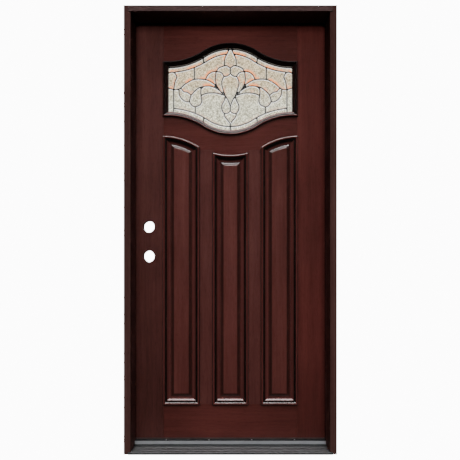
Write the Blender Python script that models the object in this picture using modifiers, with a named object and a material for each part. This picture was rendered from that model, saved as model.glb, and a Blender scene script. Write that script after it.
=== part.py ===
"""A pre-hung front door: a panelled timber leaf with a curved leaded window, hung in a deep
rebated frame on an aluminium sill.

X runs to the right as seen from outside, Y runs from outside to inside, Z is up, and all sizes
are in metres. The origin is the middle of the sill's underside. The leaf opens inwards on three
butt hinges at the right.
"""

import math

import bmesh
import bpy
from mathutils import Matrix, Vector
from mathutils.geometry import delaunay_2d_cdt

# Gaps between pieces
FIT_GAP = 0.0003
MITRE_GAP = 0.00025
PLAY = 0.0006
CUT_MARGIN = 0.001

# Door leaf
LEAF_WIDTH = 0.908
LEAF_HEIGHT = 1.954
LEAF_THICK = 0.04445
EDGE_GAP = 0.0032
STILE_WIDTH = 0.1397
MULLION_WIDTH = 0.0713
BOTTOM_RAIL_HEIGHT = 0.1567
SHOULDER_RISE = 0.004

# Frame
JAMB_DEPTH = 0.1667
JAMB_THICK = 0.03175
HEAD_THICK = 0.027
REBATE = 0.0127
ARRIS_RADIUS = 0.0022

# Weatherstrip between the stop and the closed leaf
STRIP_DEPTH = 0.0095
STRIP_WIDTH = 0.0098
STRIP_NOSE = 0.003

# Sill
NOSE_REACH = 0.0056
NOSE_HEIGHT = 0.0096
NOSE_DEPTH = 0.013
NOSE_ROUND = 0.0009
NOSE_LAND = 0.0065
DECK_THICK = 0.0026
DECK_RISE = 0.0016
RIB_COUNT = 5
RIB_HEIGHT = 0.0011
RIB_WIDTH = 0.0075
RIB_SLOPE = 0.0008
CAP_TOP = 0.027
CAP_DEPTH = 0.05
CAP_FRONT = 0.095
CAP_FRONT_FOOT = 0.0014
CAP_ROUND = 0.0024
CAP_WALL = 0.004
RISER_HEIGHT = 0.0215
SCREW_PITCH = 0.2
SCREW_COUNT = 4
SCREW_HEAD_RADIUS = 0.0044
SCREW_SHANK_RADIUS = 0.0021
SCREW_HEAD_DEPTH = 0.0022
SCREW_LENGTH = 0.011
SCREW_STAND = 0.0004
SCREW_SETBACK = 0.0165

# Sweep under the leaf
SWEEP_HEIGHT = 0.0076
SWEEP_BASE = 0.0028
SWEEP_LIP = 0.0022
SWEEP_FIN = 0.0016
SWEEP_SET_BACK = 0.0004

# Lock bores
BORE_RADIUS = 0.027
BORE_BACKSET = 0.06985
BORE_SPACING = 0.1397
LATCH_BORE_HEIGHT = 0.8514
EDGE_BORE_RADIUS = 0.0127

# Window, along the outer edge of its moulding
WINDOW_TOP_RAIL = 0.098
WINDOW_HEIGHT = 0.435
OGEE_CROWN_RADIUS = 0.2425
OGEE_FLANK_RADIUS = 0.297
OGEE_ANGLE = math.radians(33.0)

# Panel heads, along the outer edge of their mouldings
SIDE_HEAD_DROP = 0.089
SIDE_HEAD_RADIUS = 0.313
CENTRE_HEAD_DROP = 0.0921
CENTRE_HEAD_RADIUS = 0.315

# Bolection moulding: its lap on the frame, and how far it stands out
MOULDING_LAP = 0.004
MOULDING_PROUD = 0.009
PANEL_MOULDING_WIDTH = 0.0344
WINDOW_MOULDING_WIDTH = 0.0245
MOULDING_LEG = 0.0097

# Raised panels
GROOVE_DEPTH = 0.009
GROOVE_FRONT = 0.014
GROOVE_WIDTH = 0.014
PANEL_SHRINK_GAP = 0.002
FIELD_SET_IN = 0.0495
FIELD_SINK = 0.0012
FIELD_ARRIS = 0.0009
HIP_BREAK = 0.0006
BACK_HIP_RUN = 0.026
BACK_STEP = 0.002
INSIDE_CHAMFER = 0.006

# Window glass and its lead
GLASS_SINK = 0.015
CAME_THICK = 0.0022
CAME_WIDTH = 0.005
GLASS_THICK = 0.004
GLASS_EDGE_GAP = 0.002
RIM_CAME_SHOWING = 0.002
STOP_WIDTH = 0.014
STOP_TOP_WIDTH = 0.007
STOP_NOSE = 0.008

# The leaded pattern's border and the straight bars in it
BORDER_WIDTH = 0.021
BORDER_STEP = 0.0005
SIDE_BORDER_X = 0.2685
UPPER_BAR_X = 0.1705
LOWER_BAR_X = 0.166
CROSS_BAR_X = 0.127
LATTICE_REACH = 0.205

# Hinges
HINGE_HEIGHT = 0.1016
HINGE_LEAF_DEPTH = 0.034
HINGE_LEAF_THICK = 0.0024
KNUCKLE_RADIUS = 0.006
KNUCKLE_COUNT = 5
KNUCKLE_GAP = 0.0004
PIN_RADIUS = 0.003
PIN_HEAD_RADIUS = 0.0048
PIN_HEAD_HEIGHT = 0.0032
BARREL_OFFSET = 0.0075
TOP_HINGE_DROP = 0.178
BOTTOM_HINGE_RISE = 0.254

# Facets
CROWN_STEPS = 4
FLANK_STEPS = 5
HEAD_STEPS = 6
CAME_STEP_LENGTH = 0.023
BORE_SIDES = 32
EDGE_BORE_SIDES = 16
KNUCKLE_SIDES = 10
PIN_SIDES = 8
SCREW_SIDES = 6

# Places that follow from the sizes
SLAB_BACK = JAMB_DEPTH / 2
SLAB_FACE = SLAB_BACK - LEAF_THICK
STOP_FACE = SLAB_FACE - STRIP_DEPTH
FRAME_FRONT = -JAMB_DEPTH / 2
LEAF_HALF = LEAF_WIDTH / 2
REBATE_X = LEAF_HALF + EDGE_GAP
STOP_X = REBATE_X - REBATE
FRAME_HALF = STOP_X + JAMB_THICK
LEAF_BOTTOM = CAP_TOP + SWEEP_HEIGHT
LEAF_TOP = LEAF_BOTTOM + LEAF_HEIGHT
HEAD_REBATE_Z = LEAF_TOP + EDGE_GAP
HEAD_UNDER = HEAD_REBATE_Z - REBATE
FRAME_TOP = HEAD_UNDER + HEAD_THICK

OPENING_HALF = LEAF_HALF - STILE_WIDTH
OUTER_HALF = OPENING_HALF + MOULDING_LAP
PANEL_OPENING = (2 * OPENING_HALF - 2 * MULLION_WIDTH) / 3
MULLION_INNER = PANEL_OPENING / 2
MULLION_OUTER = MULLION_INNER + MULLION_WIDTH

OGEE_SPAN = (OGEE_CROWN_RADIUS + OGEE_FLANK_RADIUS) * math.sin(OGEE_ANGLE)
OGEE_RISE = (OGEE_CROWN_RADIUS + OGEE_FLANK_RADIUS) * (1 - math.cos(OGEE_ANGLE))
WINDOW_CENTRE = LEAF_TOP - WINDOW_TOP_RAIL - WINDOW_HEIGHT / 2
WINDOW_CORNER = WINDOW_HEIGHT / 2 - OGEE_RISE
PANEL_FOOT = LEAF_BOTTOM + BOTTOM_RAIL_HEIGHT - MOULDING_LAP
SIDE_HEAD_Z = WINDOW_CENTRE - WINDOW_CORNER - SIDE_HEAD_DROP
CENTRE_HEAD_Z = WINDOW_CENTRE - WINDOW_HEIGHT / 2 - CENTRE_HEAD_DROP

HINGE_X = LEAF_HALF + EDGE_GAP / 2
HINGE_Y = SLAB_BACK + BARREL_OFFSET

# How a profile or an outline is laid into the model
PLAN = Matrix.Identity(4)
ALONG_X = Matrix(((0, 0, 1, 0), (1, 0, 0, 0), (0, 1, 0, 0), (0, 0, 0, 1)))
ALONG_Y = Matrix(((1, 0, 0, 0), (0, 0, -1, 0), (0, 1, 0, 0), (0, 0, 0, 1)))

MATERIALS = {
    "stained_wood": ((0.072, 0.021, 0.016), 0.38, 0.0),
    "stained_wood_panel": ((0.074, 0.022, 0.018), 0.4, 0.0),
    "dark_moulding": ((0.045, 0.014, 0.011), 0.33, 0.0),
    "frame_wood": ((0.058, 0.024, 0.02), 0.42, 0.0),
    "mill_aluminium": ((0.30, 0.31, 0.32), 0.38, 1.0),
    "cap_grey": ((0.42, 0.42, 0.43), 0.45, 0.1),
    "composite": ((0.05, 0.05, 0.05), 0.7, 0.0),
    "screw_steel": ((0.6, 0.6, 0.6), 0.3, 1.0),
    "soft_seal": ((0.03, 0.02, 0.018), 0.8, 0.0),
    "sweep_vinyl": ((0.12, 0.09, 0.08), 0.6, 0.0),
    "pale_glass": ((0.62, 0.61, 0.54), 0.2, 0.0),
    "dark_lead": ((0.09, 0.09, 0.09), 0.45, 0.8),
    "hinge_metal": ((0.35, 0.3, 0.22), 0.35, 1.0),
}


def clear_scene():
    """Empty the file of its start objects."""
    for item in list(bpy.data.objects):
        bpy.data.objects.remove(item, do_unlink=True)


def make_collection(name):
    """Return a new collection that hangs in the scene."""
    group = bpy.data.collections.new(name)
    bpy.context.scene.collection.children.link(group)
    return group


def material(name):
    """Return the named Principled material, made on its first use."""
    found = bpy.data.materials.get(name)
    if found:
        return found
    colour, roughness, metallic = MATERIALS[name]
    made = bpy.data.materials.new(name)
    made.use_nodes = True
    shader = made.node_tree.nodes["Principled BSDF"]
    shader.inputs["Base Color"].default_value = (*colour, 1.0)
    shader.inputs["Roughness"].default_value = roughness
    shader.inputs["Metallic"].default_value = metallic
    return made


def finish(item, name, look, group, parent=None):
    """Name an object, give it its material, and hang it in its collection and under its parent."""
    item.name = name
    item.data.name = name
    for old in list(item.users_collection):
        old.objects.unlink(item)
    group.objects.link(item)
    if look:
        item.data.materials.clear()
        item.data.materials.append(material(look))
    if parent:
        item.parent = parent
        item.matrix_parent_inverse = parent.matrix_basis.inverted()
    return item


def mesh_object(points, faces):
    """Return an object made from points and faces, in triangles that face outwards."""
    mesh = bpy.data.meshes.new("shape")
    mesh.from_pydata(points, [], faces)
    shape = bmesh.new()
    shape.from_mesh(mesh)
    bmesh.ops.triangulate(shape, faces=shape.faces)
    bmesh.ops.recalc_face_normals(shape, faces=shape.faces)
    if shape.calc_volume(signed=True) < 0:
        bmesh.ops.reverse_faces(shape, faces=shape.faces)
    shape.to_mesh(mesh)
    shape.free()
    item = bpy.data.objects.new("shape", mesh)
    bpy.context.scene.collection.objects.link(item)
    return item


def box(low, high):
    """Return a box between two corners, its scale applied and its origin at its centre."""
    low, high = Vector(low), Vector(high)
    bpy.ops.mesh.primitive_cube_add(size=1, location=(low + high) / 2)
    item = bpy.context.object
    item.data.transform(Matrix.Diagonal((*(high - low), 1.0)))
    return item


def extrusion(profile, start, end, lay):
    """Return a straight bar: a flat outline carried from start to end along the laid axis."""
    curve = bpy.data.curves.new("profile", "CURVE")
    curve.dimensions = "2D"
    curve.fill_mode = "BOTH"
    curve.extrude = abs(end - start) / 2
    spline = curve.splines.new("POLY")
    spline.points.add(len(profile) - 1)
    for point, (across, up) in zip(spline.points, profile):
        point.co = (across, up, 0, 1)
    spline.use_cyclic_u = True
    guide = bpy.data.objects.new("profile", curve)
    bpy.context.scene.collection.objects.link(guide)
    guide.matrix_world = lay @ Matrix.Translation((0, 0, (start + end) / 2))
    bpy.context.view_layer.update()
    ready = guide.evaluated_get(bpy.context.evaluated_depsgraph_get())
    mesh = bpy.data.meshes.new_from_object(ready)
    shape = bmesh.new()
    shape.from_mesh(mesh)
    bmesh.ops.remove_doubles(shape, verts=shape.verts, dist=1e-6)
    bmesh.ops.recalc_face_normals(shape, faces=shape.faces)
    shape.to_mesh(mesh)
    shape.free()
    item = bpy.data.objects.new("bar", mesh)
    item.matrix_world = guide.matrix_world.copy()
    bpy.context.scene.collection.objects.link(item)
    bpy.data.objects.remove(guide, do_unlink=True)
    return item


def cylinder(radius, start, end, sides, place, lay=PLAN):
    """Return a capped cylinder about a laid axis through a place, from start to end along it."""
    shape = bmesh.new()
    bmesh.ops.create_cone(
        shape, cap_ends=True, segments=sides, radius1=radius, radius2=radius, depth=end - start)
    mesh = bpy.data.meshes.new("round")
    shape.to_mesh(mesh)
    shape.free()
    item = bpy.data.objects.new("round", mesh)
    item.matrix_world = Matrix.Translation(place) @ lay @ Matrix.Translation((0, 0, (start + end) / 2))
    bpy.context.scene.collection.objects.link(item)
    return item


def boolean(item, other, operation="DIFFERENCE"):
    """Cut one object with another, or join the other to it, by a modifier that stays live."""
    step = item.modifiers.new(operation.title(), "BOOLEAN")
    step.operation = operation
    step.solver = "EXACT"
    step.object = other
    other.hide_render = True
    other.display_type = "WIRE"
    return item


def smooth(item, angle=math.radians(35)):
    """Shade a round piece smooth, and keep its true edges sharp."""
    item.data.shade_smooth()
    item.data.set_sharp_from_angle(angle=angle)
    return item


def window_outline(inset):
    """Return the window's outline in X and Z, anticlockwise from the right-hand foot corner.

    The outline lies the inset inside the moulding's outer edge. Its head is an ogee: a round
    crown, then a hollow flank of the opposite bend, then a short level run. The foot mirrors it.
    """
    crown = OGEE_CROWN_RADIUS - inset
    flank = OGEE_FLANK_RADIUS + inset
    corner_x = OUTER_HALF - inset
    past_level = max(0.0, OGEE_SPAN - corner_x)
    half = [(corner_x, WINDOW_CORNER + OGEE_FLANK_RADIUS - math.sqrt(flank ** 2 - past_level ** 2))]
    for step in range(1, FLANK_STEPS):
        angle = OGEE_ANGLE * step / FLANK_STEPS
        half.append((OGEE_SPAN - flank * math.sin(angle),
                     WINDOW_CORNER + OGEE_FLANK_RADIUS - flank * math.cos(angle)))
    for step in range(CROWN_STEPS + 1):
        angle = OGEE_ANGLE * (1 - step / CROWN_STEPS)
        half.append((crown * math.sin(angle),
                     WINDOW_HEIGHT / 2 - OGEE_CROWN_RADIUS + crown * math.cos(angle)))
    head = half + [(-x, z) for x, z in reversed(half[:-1])]
    foot = [(-x, -z) for x, z in head]
    return [(x, z + WINDOW_CENTRE) for x, z in head + foot]


def window_corners():
    """Return the place of the window outline's four corners in its list of points."""
    head = 2 * (FLANK_STEPS + CROWN_STEPS + 1) - 1
    return [0, head - 1, head, 2 * head - 1]


def side_panel_outline(side, inset):
    """Return a side panel's outline, whose head falls from the stile towards the middle."""
    outer = OUTER_HALF - inset
    inner = MULLION_OUTER - MOULDING_LAP + inset
    radius = SIDE_HEAD_RADIUS - inset
    points = [(inner, PANEL_FOOT + inset), (outer, PANEL_FOOT + inset)]
    for step in range(HEAD_STEPS + 1):
        x = outer + (inner - outer) * step / HEAD_STEPS
        rise = math.sqrt(radius ** 2 - (x - OUTER_HALF) ** 2)
        points.append((x, SIDE_HEAD_Z - SIDE_HEAD_RADIUS + rise))
    return [(side * x, z) for x, z in points]


def centre_panel_outline(inset):
    """Return the centre panel's outline, whose head dips in the middle."""
    half = MULLION_INNER + MOULDING_LAP - inset
    radius = CENTRE_HEAD_RADIUS + inset
    points = [(-half, PANEL_FOOT + inset), (half, PANEL_FOOT + inset)]
    for step in range(HEAD_STEPS + 1):
        x = half * (1 - 2 * step / HEAD_STEPS)
        fall = math.sqrt(radius ** 2 - x ** 2)
        points.append((x, CENTRE_HEAD_Z + CENTRE_HEAD_RADIUS - fall))
    return points


PANELS = {
    "left": lambda inset: side_panel_outline(-1, inset),
    "centre": centre_panel_outline,
    "right": lambda inset: side_panel_outline(1, inset),
}


def out(height):
    """Return the Y of a place that stands this far out from the leaf's outer face."""
    return SLAB_FACE - height


def ring_body(outline, section):
    """Return a closed body lofted through outlines, one for each inset and height in a section."""
    points = []
    faces = []
    for inset, height in section:
        points += [(x, out(height), z) for x, z in outline(inset)]
    count = len(points) // len(section)
    for row in range(len(section) - 1):
        for k in range(count):
            a = row * count + k
            b = row * count + (k + 1) % count
            faces.append((a, b, b + count, a + count))
    faces.append(tuple(range(count)))
    faces.append(tuple(range(len(points) - count, len(points))))
    return mesh_object(points, faces)


def moulding_body(outline, section, first, last, shift):
    """Return one mitred length of moulding: a closed section carried along part of an outline.

    The shift is a small step in X or Z, away from each end, that parts it from its neighbours.
    """
    rows = [outline(inset) for inset, height in section]
    count = len(rows[0])
    path = [k % count for k in range(first, last + 1 if last > first else last + count + 1)]
    points = []
    for k in path:
        sign = 1 if k == path[0] else -1 if k == path[-1] else 0
        for (inset, height), row in zip(section, rows):
            x, z = row[k]
            points.append((x + sign * shift[0], out(height), z + sign * shift[1]))
    around = len(section)
    faces = []
    for step in range(len(path) - 1):
        for k in range(around):
            a = step * around + k
            b = step * around + (k + 1) % around
            faces.append((a, b, b + around, a + around))
    faces.append(tuple(range(around)))
    faces.append(tuple(range(len(points) - around, len(points))))
    return mesh_object(points, faces)


def bolection_section(width, foot, leg_end):
    """Return the moulding's section as insets and heights: bead, quirk, long ogee, then its leg."""
    proud = MOULDING_PROUD
    lap = MOULDING_LAP + PLAY
    return [
        (0.0, FIT_GAP),
        (0.0, 0.55 * proud),
        (0.0018, 0.92 * proud),
        (0.0042, proud),
        (0.0066, 0.80 * proud),
        (0.0080, 0.58 * proud),
        (0.42 * width, 0.30 * proud),
        (0.62 * width, -0.12 * proud),
        (width, foot),
        (width, leg_end),
        (lap, leg_end),
        (lap, FIT_GAP),
    ]


def make_mouldings(name, outline, corners, section, look, group, parent, mirrored=False):
    """Make the four mitred lengths around an opening: right, top, left and bottom."""
    right, top, left, bottom = ("left", "top", "right", "bottom") if mirrored else (
        "right", "top", "left", "bottom")
    a, b, c, d = corners
    turn = -1 if mirrored else 1
    gap = MITRE_GAP
    for side, first, last, shift in (
            (right, d, a, (0, gap)), (top, a, b, (-turn * gap, 0)),
            (left, b, c, (0, -gap)), (bottom, c, d, (turn * gap, 0))):
        piece = moulding_body(outline, section, first, last, shift)
        smooth(piece)
        finish(piece, f"{name}_{side}", look, group, parent)


def panel_cutter(outline):
    """Return the shape cut out for a panel: the opening, its groove and its inside chamfer."""
    lap = MOULDING_LAP
    groove_back = GROOVE_FRONT + GROOVE_WIDTH
    return ring_body(outline, [
        (lap, CUT_MARGIN),
        (lap, -GROOVE_FRONT),
        (lap - GROOVE_DEPTH, -GROOVE_FRONT),
        (lap - GROOVE_DEPTH, -groove_back),
        (lap, -groove_back),
        (lap, -LEAF_THICK + INSIDE_CHAMFER),
        (lap - INSIDE_CHAMFER - CUT_MARGIN, -LEAF_THICK - CUT_MARGIN),
    ])


def window_cutter():
    """Return the shape cut out for the window, straight through the leaf."""
    return ring_body(window_outline, [
        (MOULDING_LAP, CUT_MARGIN), (MOULDING_LAP, -LEAF_THICK - CUT_MARGIN)])


def raised_panel(outline):
    """Return a raised panel: two hips up to the field outside, a tongue, and one hip inside."""
    lap = MOULDING_LAP
    seat = MOULDING_LEG + FIT_GAP
    hip = PANEL_MOULDING_WIDTH + PLAY
    step = hip + 0.5 * (FIELD_SET_IN - hip)
    tongue = lap - GROOVE_DEPTH + PANEL_SHRINK_GAP
    groove_back = GROOVE_FRONT + GROOVE_WIDTH
    return ring_body(outline, [
        (FIELD_SET_IN, -FIELD_SINK),
        (FIELD_SET_IN - FIELD_ARRIS, -FIELD_SINK - FIELD_ARRIS),
        (step + HIP_BREAK, -0.44 * seat),
        (step, -0.62 * seat),
        (hip, -seat),
        (lap + PLAY, -seat),
        (lap + PLAY, -GROOVE_FRONT - FIT_GAP),
        (tongue, -GROOVE_FRONT - FIT_GAP),
        (tongue, -groove_back + FIT_GAP),
        (lap + PLAY, -groove_back + FIT_GAP),
        (lap + INSIDE_CHAMFER, -groove_back - FIT_GAP),
        (lap + INSIDE_CHAMFER + BACK_HIP_RUN, -LEAF_THICK + INSIDE_CHAMFER + BACK_STEP),
        (lap + INSIDE_CHAMFER + BACK_HIP_RUN + HIP_BREAK, -LEAF_THICK + INSIDE_CHAMFER),
    ])


def spline(controls, step_length):
    """Return points along a smooth curve through the control points, about a step apart."""
    ends = [2 * controls[0] - controls[1], *controls, 2 * controls[-1] - controls[-2]]
    points = [controls[0]]
    for k in range(1, len(ends) - 2):
        p0, p1, p2, p3 = ends[k - 1:k + 3]
        steps = max(1, round((p2 - p1).length / step_length))
        for j in range(1, steps + 1):
            t = j / steps
            points.append(0.5 * (2 * p1 + (p2 - p0) * t + (2 * p0 - 5 * p1 + 4 * p2 - p3) * t ** 2
                                 + (3 * p1 - p0 - 3 * p2 + p3) * t ** 3))
    return points


def at_share(across, up):
    """Return a point of the window from its shares of the half width and the half height."""
    return Vector((across * OUTER_HALF, up * WINDOW_HEIGHT / 2))


def scroll_strokes():
    """Return the right half of the leaded pattern as control points, in X and Z from the middle.

    It is a common scroll of leaves, petals and drops about an upright bud. Each number is a share
    of the window's half width or half height, so that the pattern keeps to the window's own size.
    """
    lobe_foot = (0.2105, 0.4092)
    spear_foot = (0.0880, 0.5310)
    shoulder = (0.0911, 0.3080)
    leaf_neck = (0.1005, -0.0782)
    gather = (0.0738, -0.1177)
    drop_top = (0.3990, 0.0809)
    drop_side = (0.4367, -0.1149)
    drop_foot = (0.5215, -0.3632)
    lobe_end = (0.6063, -0.2510)
    leaf_fork = (0.5844, -0.1103)
    leaf_tip = (0.7367, 0.0483)
    bud_foot = (0.8420, 0.0161)
    pair_foot = (0.0911, -0.4966)
    strokes = [
        [(0, 0.9333), (0.0597, 0.7632), (0.0848, 0.6667), spear_foot],
        [(0, 0.4828), (0.0314, 0.5195), (0.0691, 0.5356), (0.1634, 0.4920), lobe_foot],
        [lobe_foot, (0.1382, 0.3862), shoulder, (0.0456, 0.3126), (0, 0.3586)],
        [lobe_foot, (0.2733, 0.3954), (0.3330, 0.3356), (0.3707, 0.2322)],
        [lobe_foot, (0.2231, 0.2529), (0.2105, 0.1379), (0.1869, 0.0621)],
        [leaf_tip, (0.6598, 0.1471), (0.5357, 0.2368), (0.3707, 0.2322), (0.2639, 0.1609),
         (0.1869, 0.0621), (0.1445, -0.0253), leaf_neck, gather],
        [leaf_fork, (0.5341, -0.0253), (0.4650, 0.0529), drop_top, (0.3236, 0.0943), (0.2545, 0.0736),
         (0.1791, 0.0138), leaf_neck],
        [leaf_tip, (0.6943, -0.0253), (0.6378, -0.0483), leaf_fork],
        [(0.7634, 0.0230), (0.7571, -0.1034), (0.7132, -0.1977), (0.6598, -0.2460), lobe_end],
        [drop_top, (0.4367, 0.0138), drop_side, (0.4257, -0.2345), (0.4524, -0.3172), drop_foot],
        [drop_foot, (0.5655, -0.3379), lobe_end, (0.5969, -0.1701), leaf_fork],
        [drop_side, (0.3629, -0.0713), (0.2812, -0.0575), (0.1901, -0.0667), gather],
        [shoulder, (0.1194, 0.2253), (0.1272, 0.1425), (0.1100, 0.0276), gather, (0.0361, -0.2115),
         (0, -0.3448)],
        [gather, (0.0911, -0.2207), (0.1257, -0.3310), (0.1225, -0.4322), pair_foot, (0.0456, -0.5011),
         (0, -0.4598)],
        [pair_foot, (0.0785, -0.5793), (0.0361, -0.6575), (0, -0.7264)],
        [(0.9488, 0.3517), (0.8702, 0.3954), (0.8231, 0.3632), (0.7980, 0.2805), (0.8231, 0.1839), bud_foot],
        [(0.9488, 0.0690), (0.8954, 0.0391), bud_foot, (0.7854, 0.0161), leaf_tip],
    ]
    return [[at_share(*point) for point in stroke] for stroke in strokes]


def border_stroke(sign, first_x, last_x):
    """Return the border came inside the window's head or foot, as points from the middle."""
    inset = WINDOW_MOULDING_WIDTH + BORDER_WIDTH
    points = [Vector((x, sign * (z - WINDOW_CENTRE)))
              for x, z in window_outline(inset) if z > WINDOW_CENTRE]
    points = [point for point in points if first_x <= point.x < last_x]
    return sorted(points, key=lambda point: point.x)


def border_height(x):
    """Return how far above the middle the border came passes at an X."""
    line = border_stroke(1, 0, 1)
    for a, b in zip(line, line[1:]):
        if a.x <= x <= b.x:
            return a.y + (b.y - a.y) * (x - a.x) / (b.x - a.x)
    return line[-1].y


def lattice_strokes():
    """Return every came of the right half as points from the window's middle."""
    strokes = [spline(stroke, CAME_STEP_LENGTH) for stroke in scroll_strokes()]
    spear_side = at_share(0.0581, 0).x
    petal = at_share(0.8231, 0.3632)
    head = [Vector((spear_side, border_height(spear_side)))]
    head += border_stroke(1, spear_side + BORDER_STEP, petal.x)
    strokes.append(head + [petal])
    foot = border_stroke(-1, 0, SIDE_BORDER_X)
    strokes.append(foot + [Vector((SIDE_BORDER_X, -border_height(SIDE_BORDER_X)))])
    cross_height = border_height(CROSS_BAR_X)
    for x, low, high in (
            (0, at_share(0, 0.3586).y, at_share(0, 0.4828).y),
            (0, at_share(0, -0.4598).y, at_share(0, -0.3448).y),
            (0, -LATTICE_REACH, at_share(0, -0.7264).y),
            (SIDE_BORDER_X, -LATTICE_REACH + OGEE_RISE, at_share(0, 0.0161).y),
            (UPPER_BAR_X, at_share(0, 0.2368).y, border_height(UPPER_BAR_X)),
            (LOWER_BAR_X, -border_height(LOWER_BAR_X), at_share(0, -0.3632).y),
            (CROSS_BAR_X, cross_height, cross_height + BORDER_WIDTH),
            (CROSS_BAR_X, -cross_height - BORDER_WIDTH, -cross_height)):
        strokes.append([Vector((x, low)), Vector((x, high))])
    return strokes


def ribbon(points, width):
    """Return the quads of a flat ribbon of even width along a line of points."""
    sides = []
    for k, point in enumerate(points):
        before = (point - points[k - 1]).normalized() if k else None
        after = (points[k + 1] - point).normalized() if k + 1 < len(points) else None
        along = ((before or after) + (after or before)).normalized()
        stretch = 1 / max(0.6, along.dot(after or before))
        across = Vector((-along.y, along.x)) * (width / 2 * stretch)
        sides.append((point + across, point - across))
    return [(a, b, d, c) for (a, b), (c, d) in zip(sides, sides[1:])]


def inside(point, quad):
    """Tell whether a point lies in a convex quad whose corners run anticlockwise."""
    return all((b - a).cross(point - a) >= 0 for a, b in zip(quad, [*quad[1:], quad[0]]))


def lead_cames():
    """Return the lead lattice: every came and the rim fused into one flat sheet, then thickened."""
    quads = []
    for stroke in lattice_strokes():
        for quad in ribbon(stroke, CAME_WIDTH):
            quads.append(quad)
            quads.append([Vector((-point.x, point.y)) for point in reversed(quad)])
    shift = Vector((0, -WINDOW_CENTRE))
    outer = [Vector(p) + shift for p in window_outline(MOULDING_LAP + GLASS_EDGE_GAP)]
    inner = [Vector(p) + shift for p in window_outline(WINDOW_MOULDING_WIDTH + RIM_CAME_SHOWING)]
    for k in range(len(outer)):
        quads.append((outer[k - 1], outer[k], inner[k], inner[k - 1]))
    quads = [quad if (quad[1] - quad[0]).cross(quad[2] - quad[1]) > 0 else quad[::-1]
             for quad in map(list, quads)]
    points = [point for quad in quads for point in quad]
    loops = [list(range(4 * k, 4 * k + 4)) for k in range(len(quads))]
    meshed = delaunay_2d_cdt(points, [], loops, 0, 1e-5)
    flat, faces = meshed[0], meshed[2]
    kept = []
    for face in faces:
        middle = sum((flat[k] for k in face), Vector((0, 0))) / 3
        if any(inside(middle, quad) for quad in quads):
            kept.append(face)
    front = out(-GLASS_SINK)
    item = mesh_object([(p.x, front, p.y + WINDOW_CENTRE) for p in flat], kept)
    shape = bmesh.new()
    shape.from_mesh(item.data)
    bmesh.ops.delete(shape, geom=[v for v in shape.verts if not v.link_faces], context="VERTS")
    bmesh.ops.remove_doubles(shape, verts=shape.verts, dist=2e-5)
    bmesh.ops.dissolve_degenerate(shape, edges=shape.edges, dist=1e-5)
    bmesh.ops.recalc_face_normals(shape, faces=shape.faces)
    if sum(face.normal.y for face in shape.faces) > 0:
        bmesh.ops.reverse_faces(shape, faces=shape.faces)
    shape.to_mesh(item.data)
    shape.free()
    thick = item.modifiers.new("Thickness", "SOLIDIFY")
    thick.thickness = CAME_THICK
    thick.offset = -1
    return item


def knuckle_span(index):
    """Return the bottom and top of a knuckle, measured from the hinge's middle."""
    pitch = HINGE_HEIGHT / KNUCKLE_COUNT
    low = -HINGE_HEIGHT / 2 + index * pitch
    return low + KNUCKLE_GAP / 2, low + pitch - KNUCKLE_GAP / 2


def hinge_leaf_box(side, z, extra=0.0):
    """Return the flat of a hinge leaf, let into the jamb (side 1) or the leaf's edge (side -1)."""
    face = HINGE_X + side * EDGE_GAP / 2
    back = face + side * (HINGE_LEAF_THICK + extra)
    reach = HINGE_Y - PIN_RADIUS - PLAY
    half = HINGE_HEIGHT / 2 + extra
    front = SLAB_BACK - HINGE_LEAF_DEPTH - extra
    inner = min(face, back) - (extra if side > 0 else 0)
    outer = max(face, back) + (extra if side < 0 else 0)
    return box((inner, front, z - half), (outer, reach, z + half))


def make_hinge(number, z, frame_group, cutters, leaf_group, pivot, jamb, stile):
    """Make one butt hinge: two leaves with interleaved knuckles, let into both sides, and a pin."""
    place = Vector((HINGE_X, HINGE_Y, z))
    clear_radius = (PIN_RADIUS + FIT_GAP) / math.cos(math.pi / PIN_SIDES)
    bore = cylinder(clear_radius, -HINGE_HEIGHT, HINGE_HEIGHT, PIN_SIDES, place)
    finish(bore, f"pin_bore_{number}", None, cutters)
    for side, owner in ((1, jamb), (-1, stile)):
        plate = hinge_leaf_box(side, z)
        for index in range(KNUCKLE_COUNT):
            low, high = knuckle_span(index)
            if (index % 2 == 0) == (side > 0):
                knuckle = cylinder(KNUCKLE_RADIUS, low, high, KNUCKLE_SIDES, place)
                finish(knuckle, f"knuckle_{number}_{index}", None, cutters)
                boolean(plate, knuckle, "UNION")
            else:
                reach = KNUCKLE_RADIUS + KNUCKLE_GAP
                room = box((HINGE_X - reach, HINGE_Y - reach, z + low - KNUCKLE_GAP),
                           (HINGE_X + reach, HINGE_Y + reach, z + high + KNUCKLE_GAP))
                finish(room, f"room_{number}_{index}_{side}", None, cutters)
                boolean(plate, room)
        boolean(plate, bore)
        name = "jamb_hinge_leaf" if side > 0 else "door_hinge_leaf"
        group = frame_group if side > 0 else leaf_group
        finish(plate, f"{name}_{number}", "hinge_metal", group, None if side > 0 else pivot)
        mortise = hinge_leaf_box(side, z, FIT_GAP)
        finish(mortise, f"mortise_{number}_{side}", None, cutters)
        boolean(owner, mortise)
    half = HINGE_HEIGHT / 2
    pin = cylinder(PIN_RADIUS, -half, half + PIN_HEAD_HEIGHT / 2, PIN_SIDES, place)
    head = cylinder(PIN_HEAD_RADIUS, half + FIT_GAP, half + PIN_HEAD_HEIGHT, KNUCKLE_SIDES, place)
    finish(head, f"pin_head_{number}", None, cutters)
    boolean(pin, head, "UNION")
    finish(pin, f"hinge_pin_{number}", "hinge_metal", frame_group)


def arris(x, y, turn_x, turn_y):
    """Return a rounded corner's points, from along X to along Y, at a bar's outside corner."""
    radius = ARRIS_RADIUS
    points = []
    for step in range(4):
        angle = math.radians(30 * step)
        points.append((x - turn_x * radius * (1 - math.sin(angle)),
                       y - turn_y * radius * (1 - math.cos(angle))))
    return points


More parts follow.
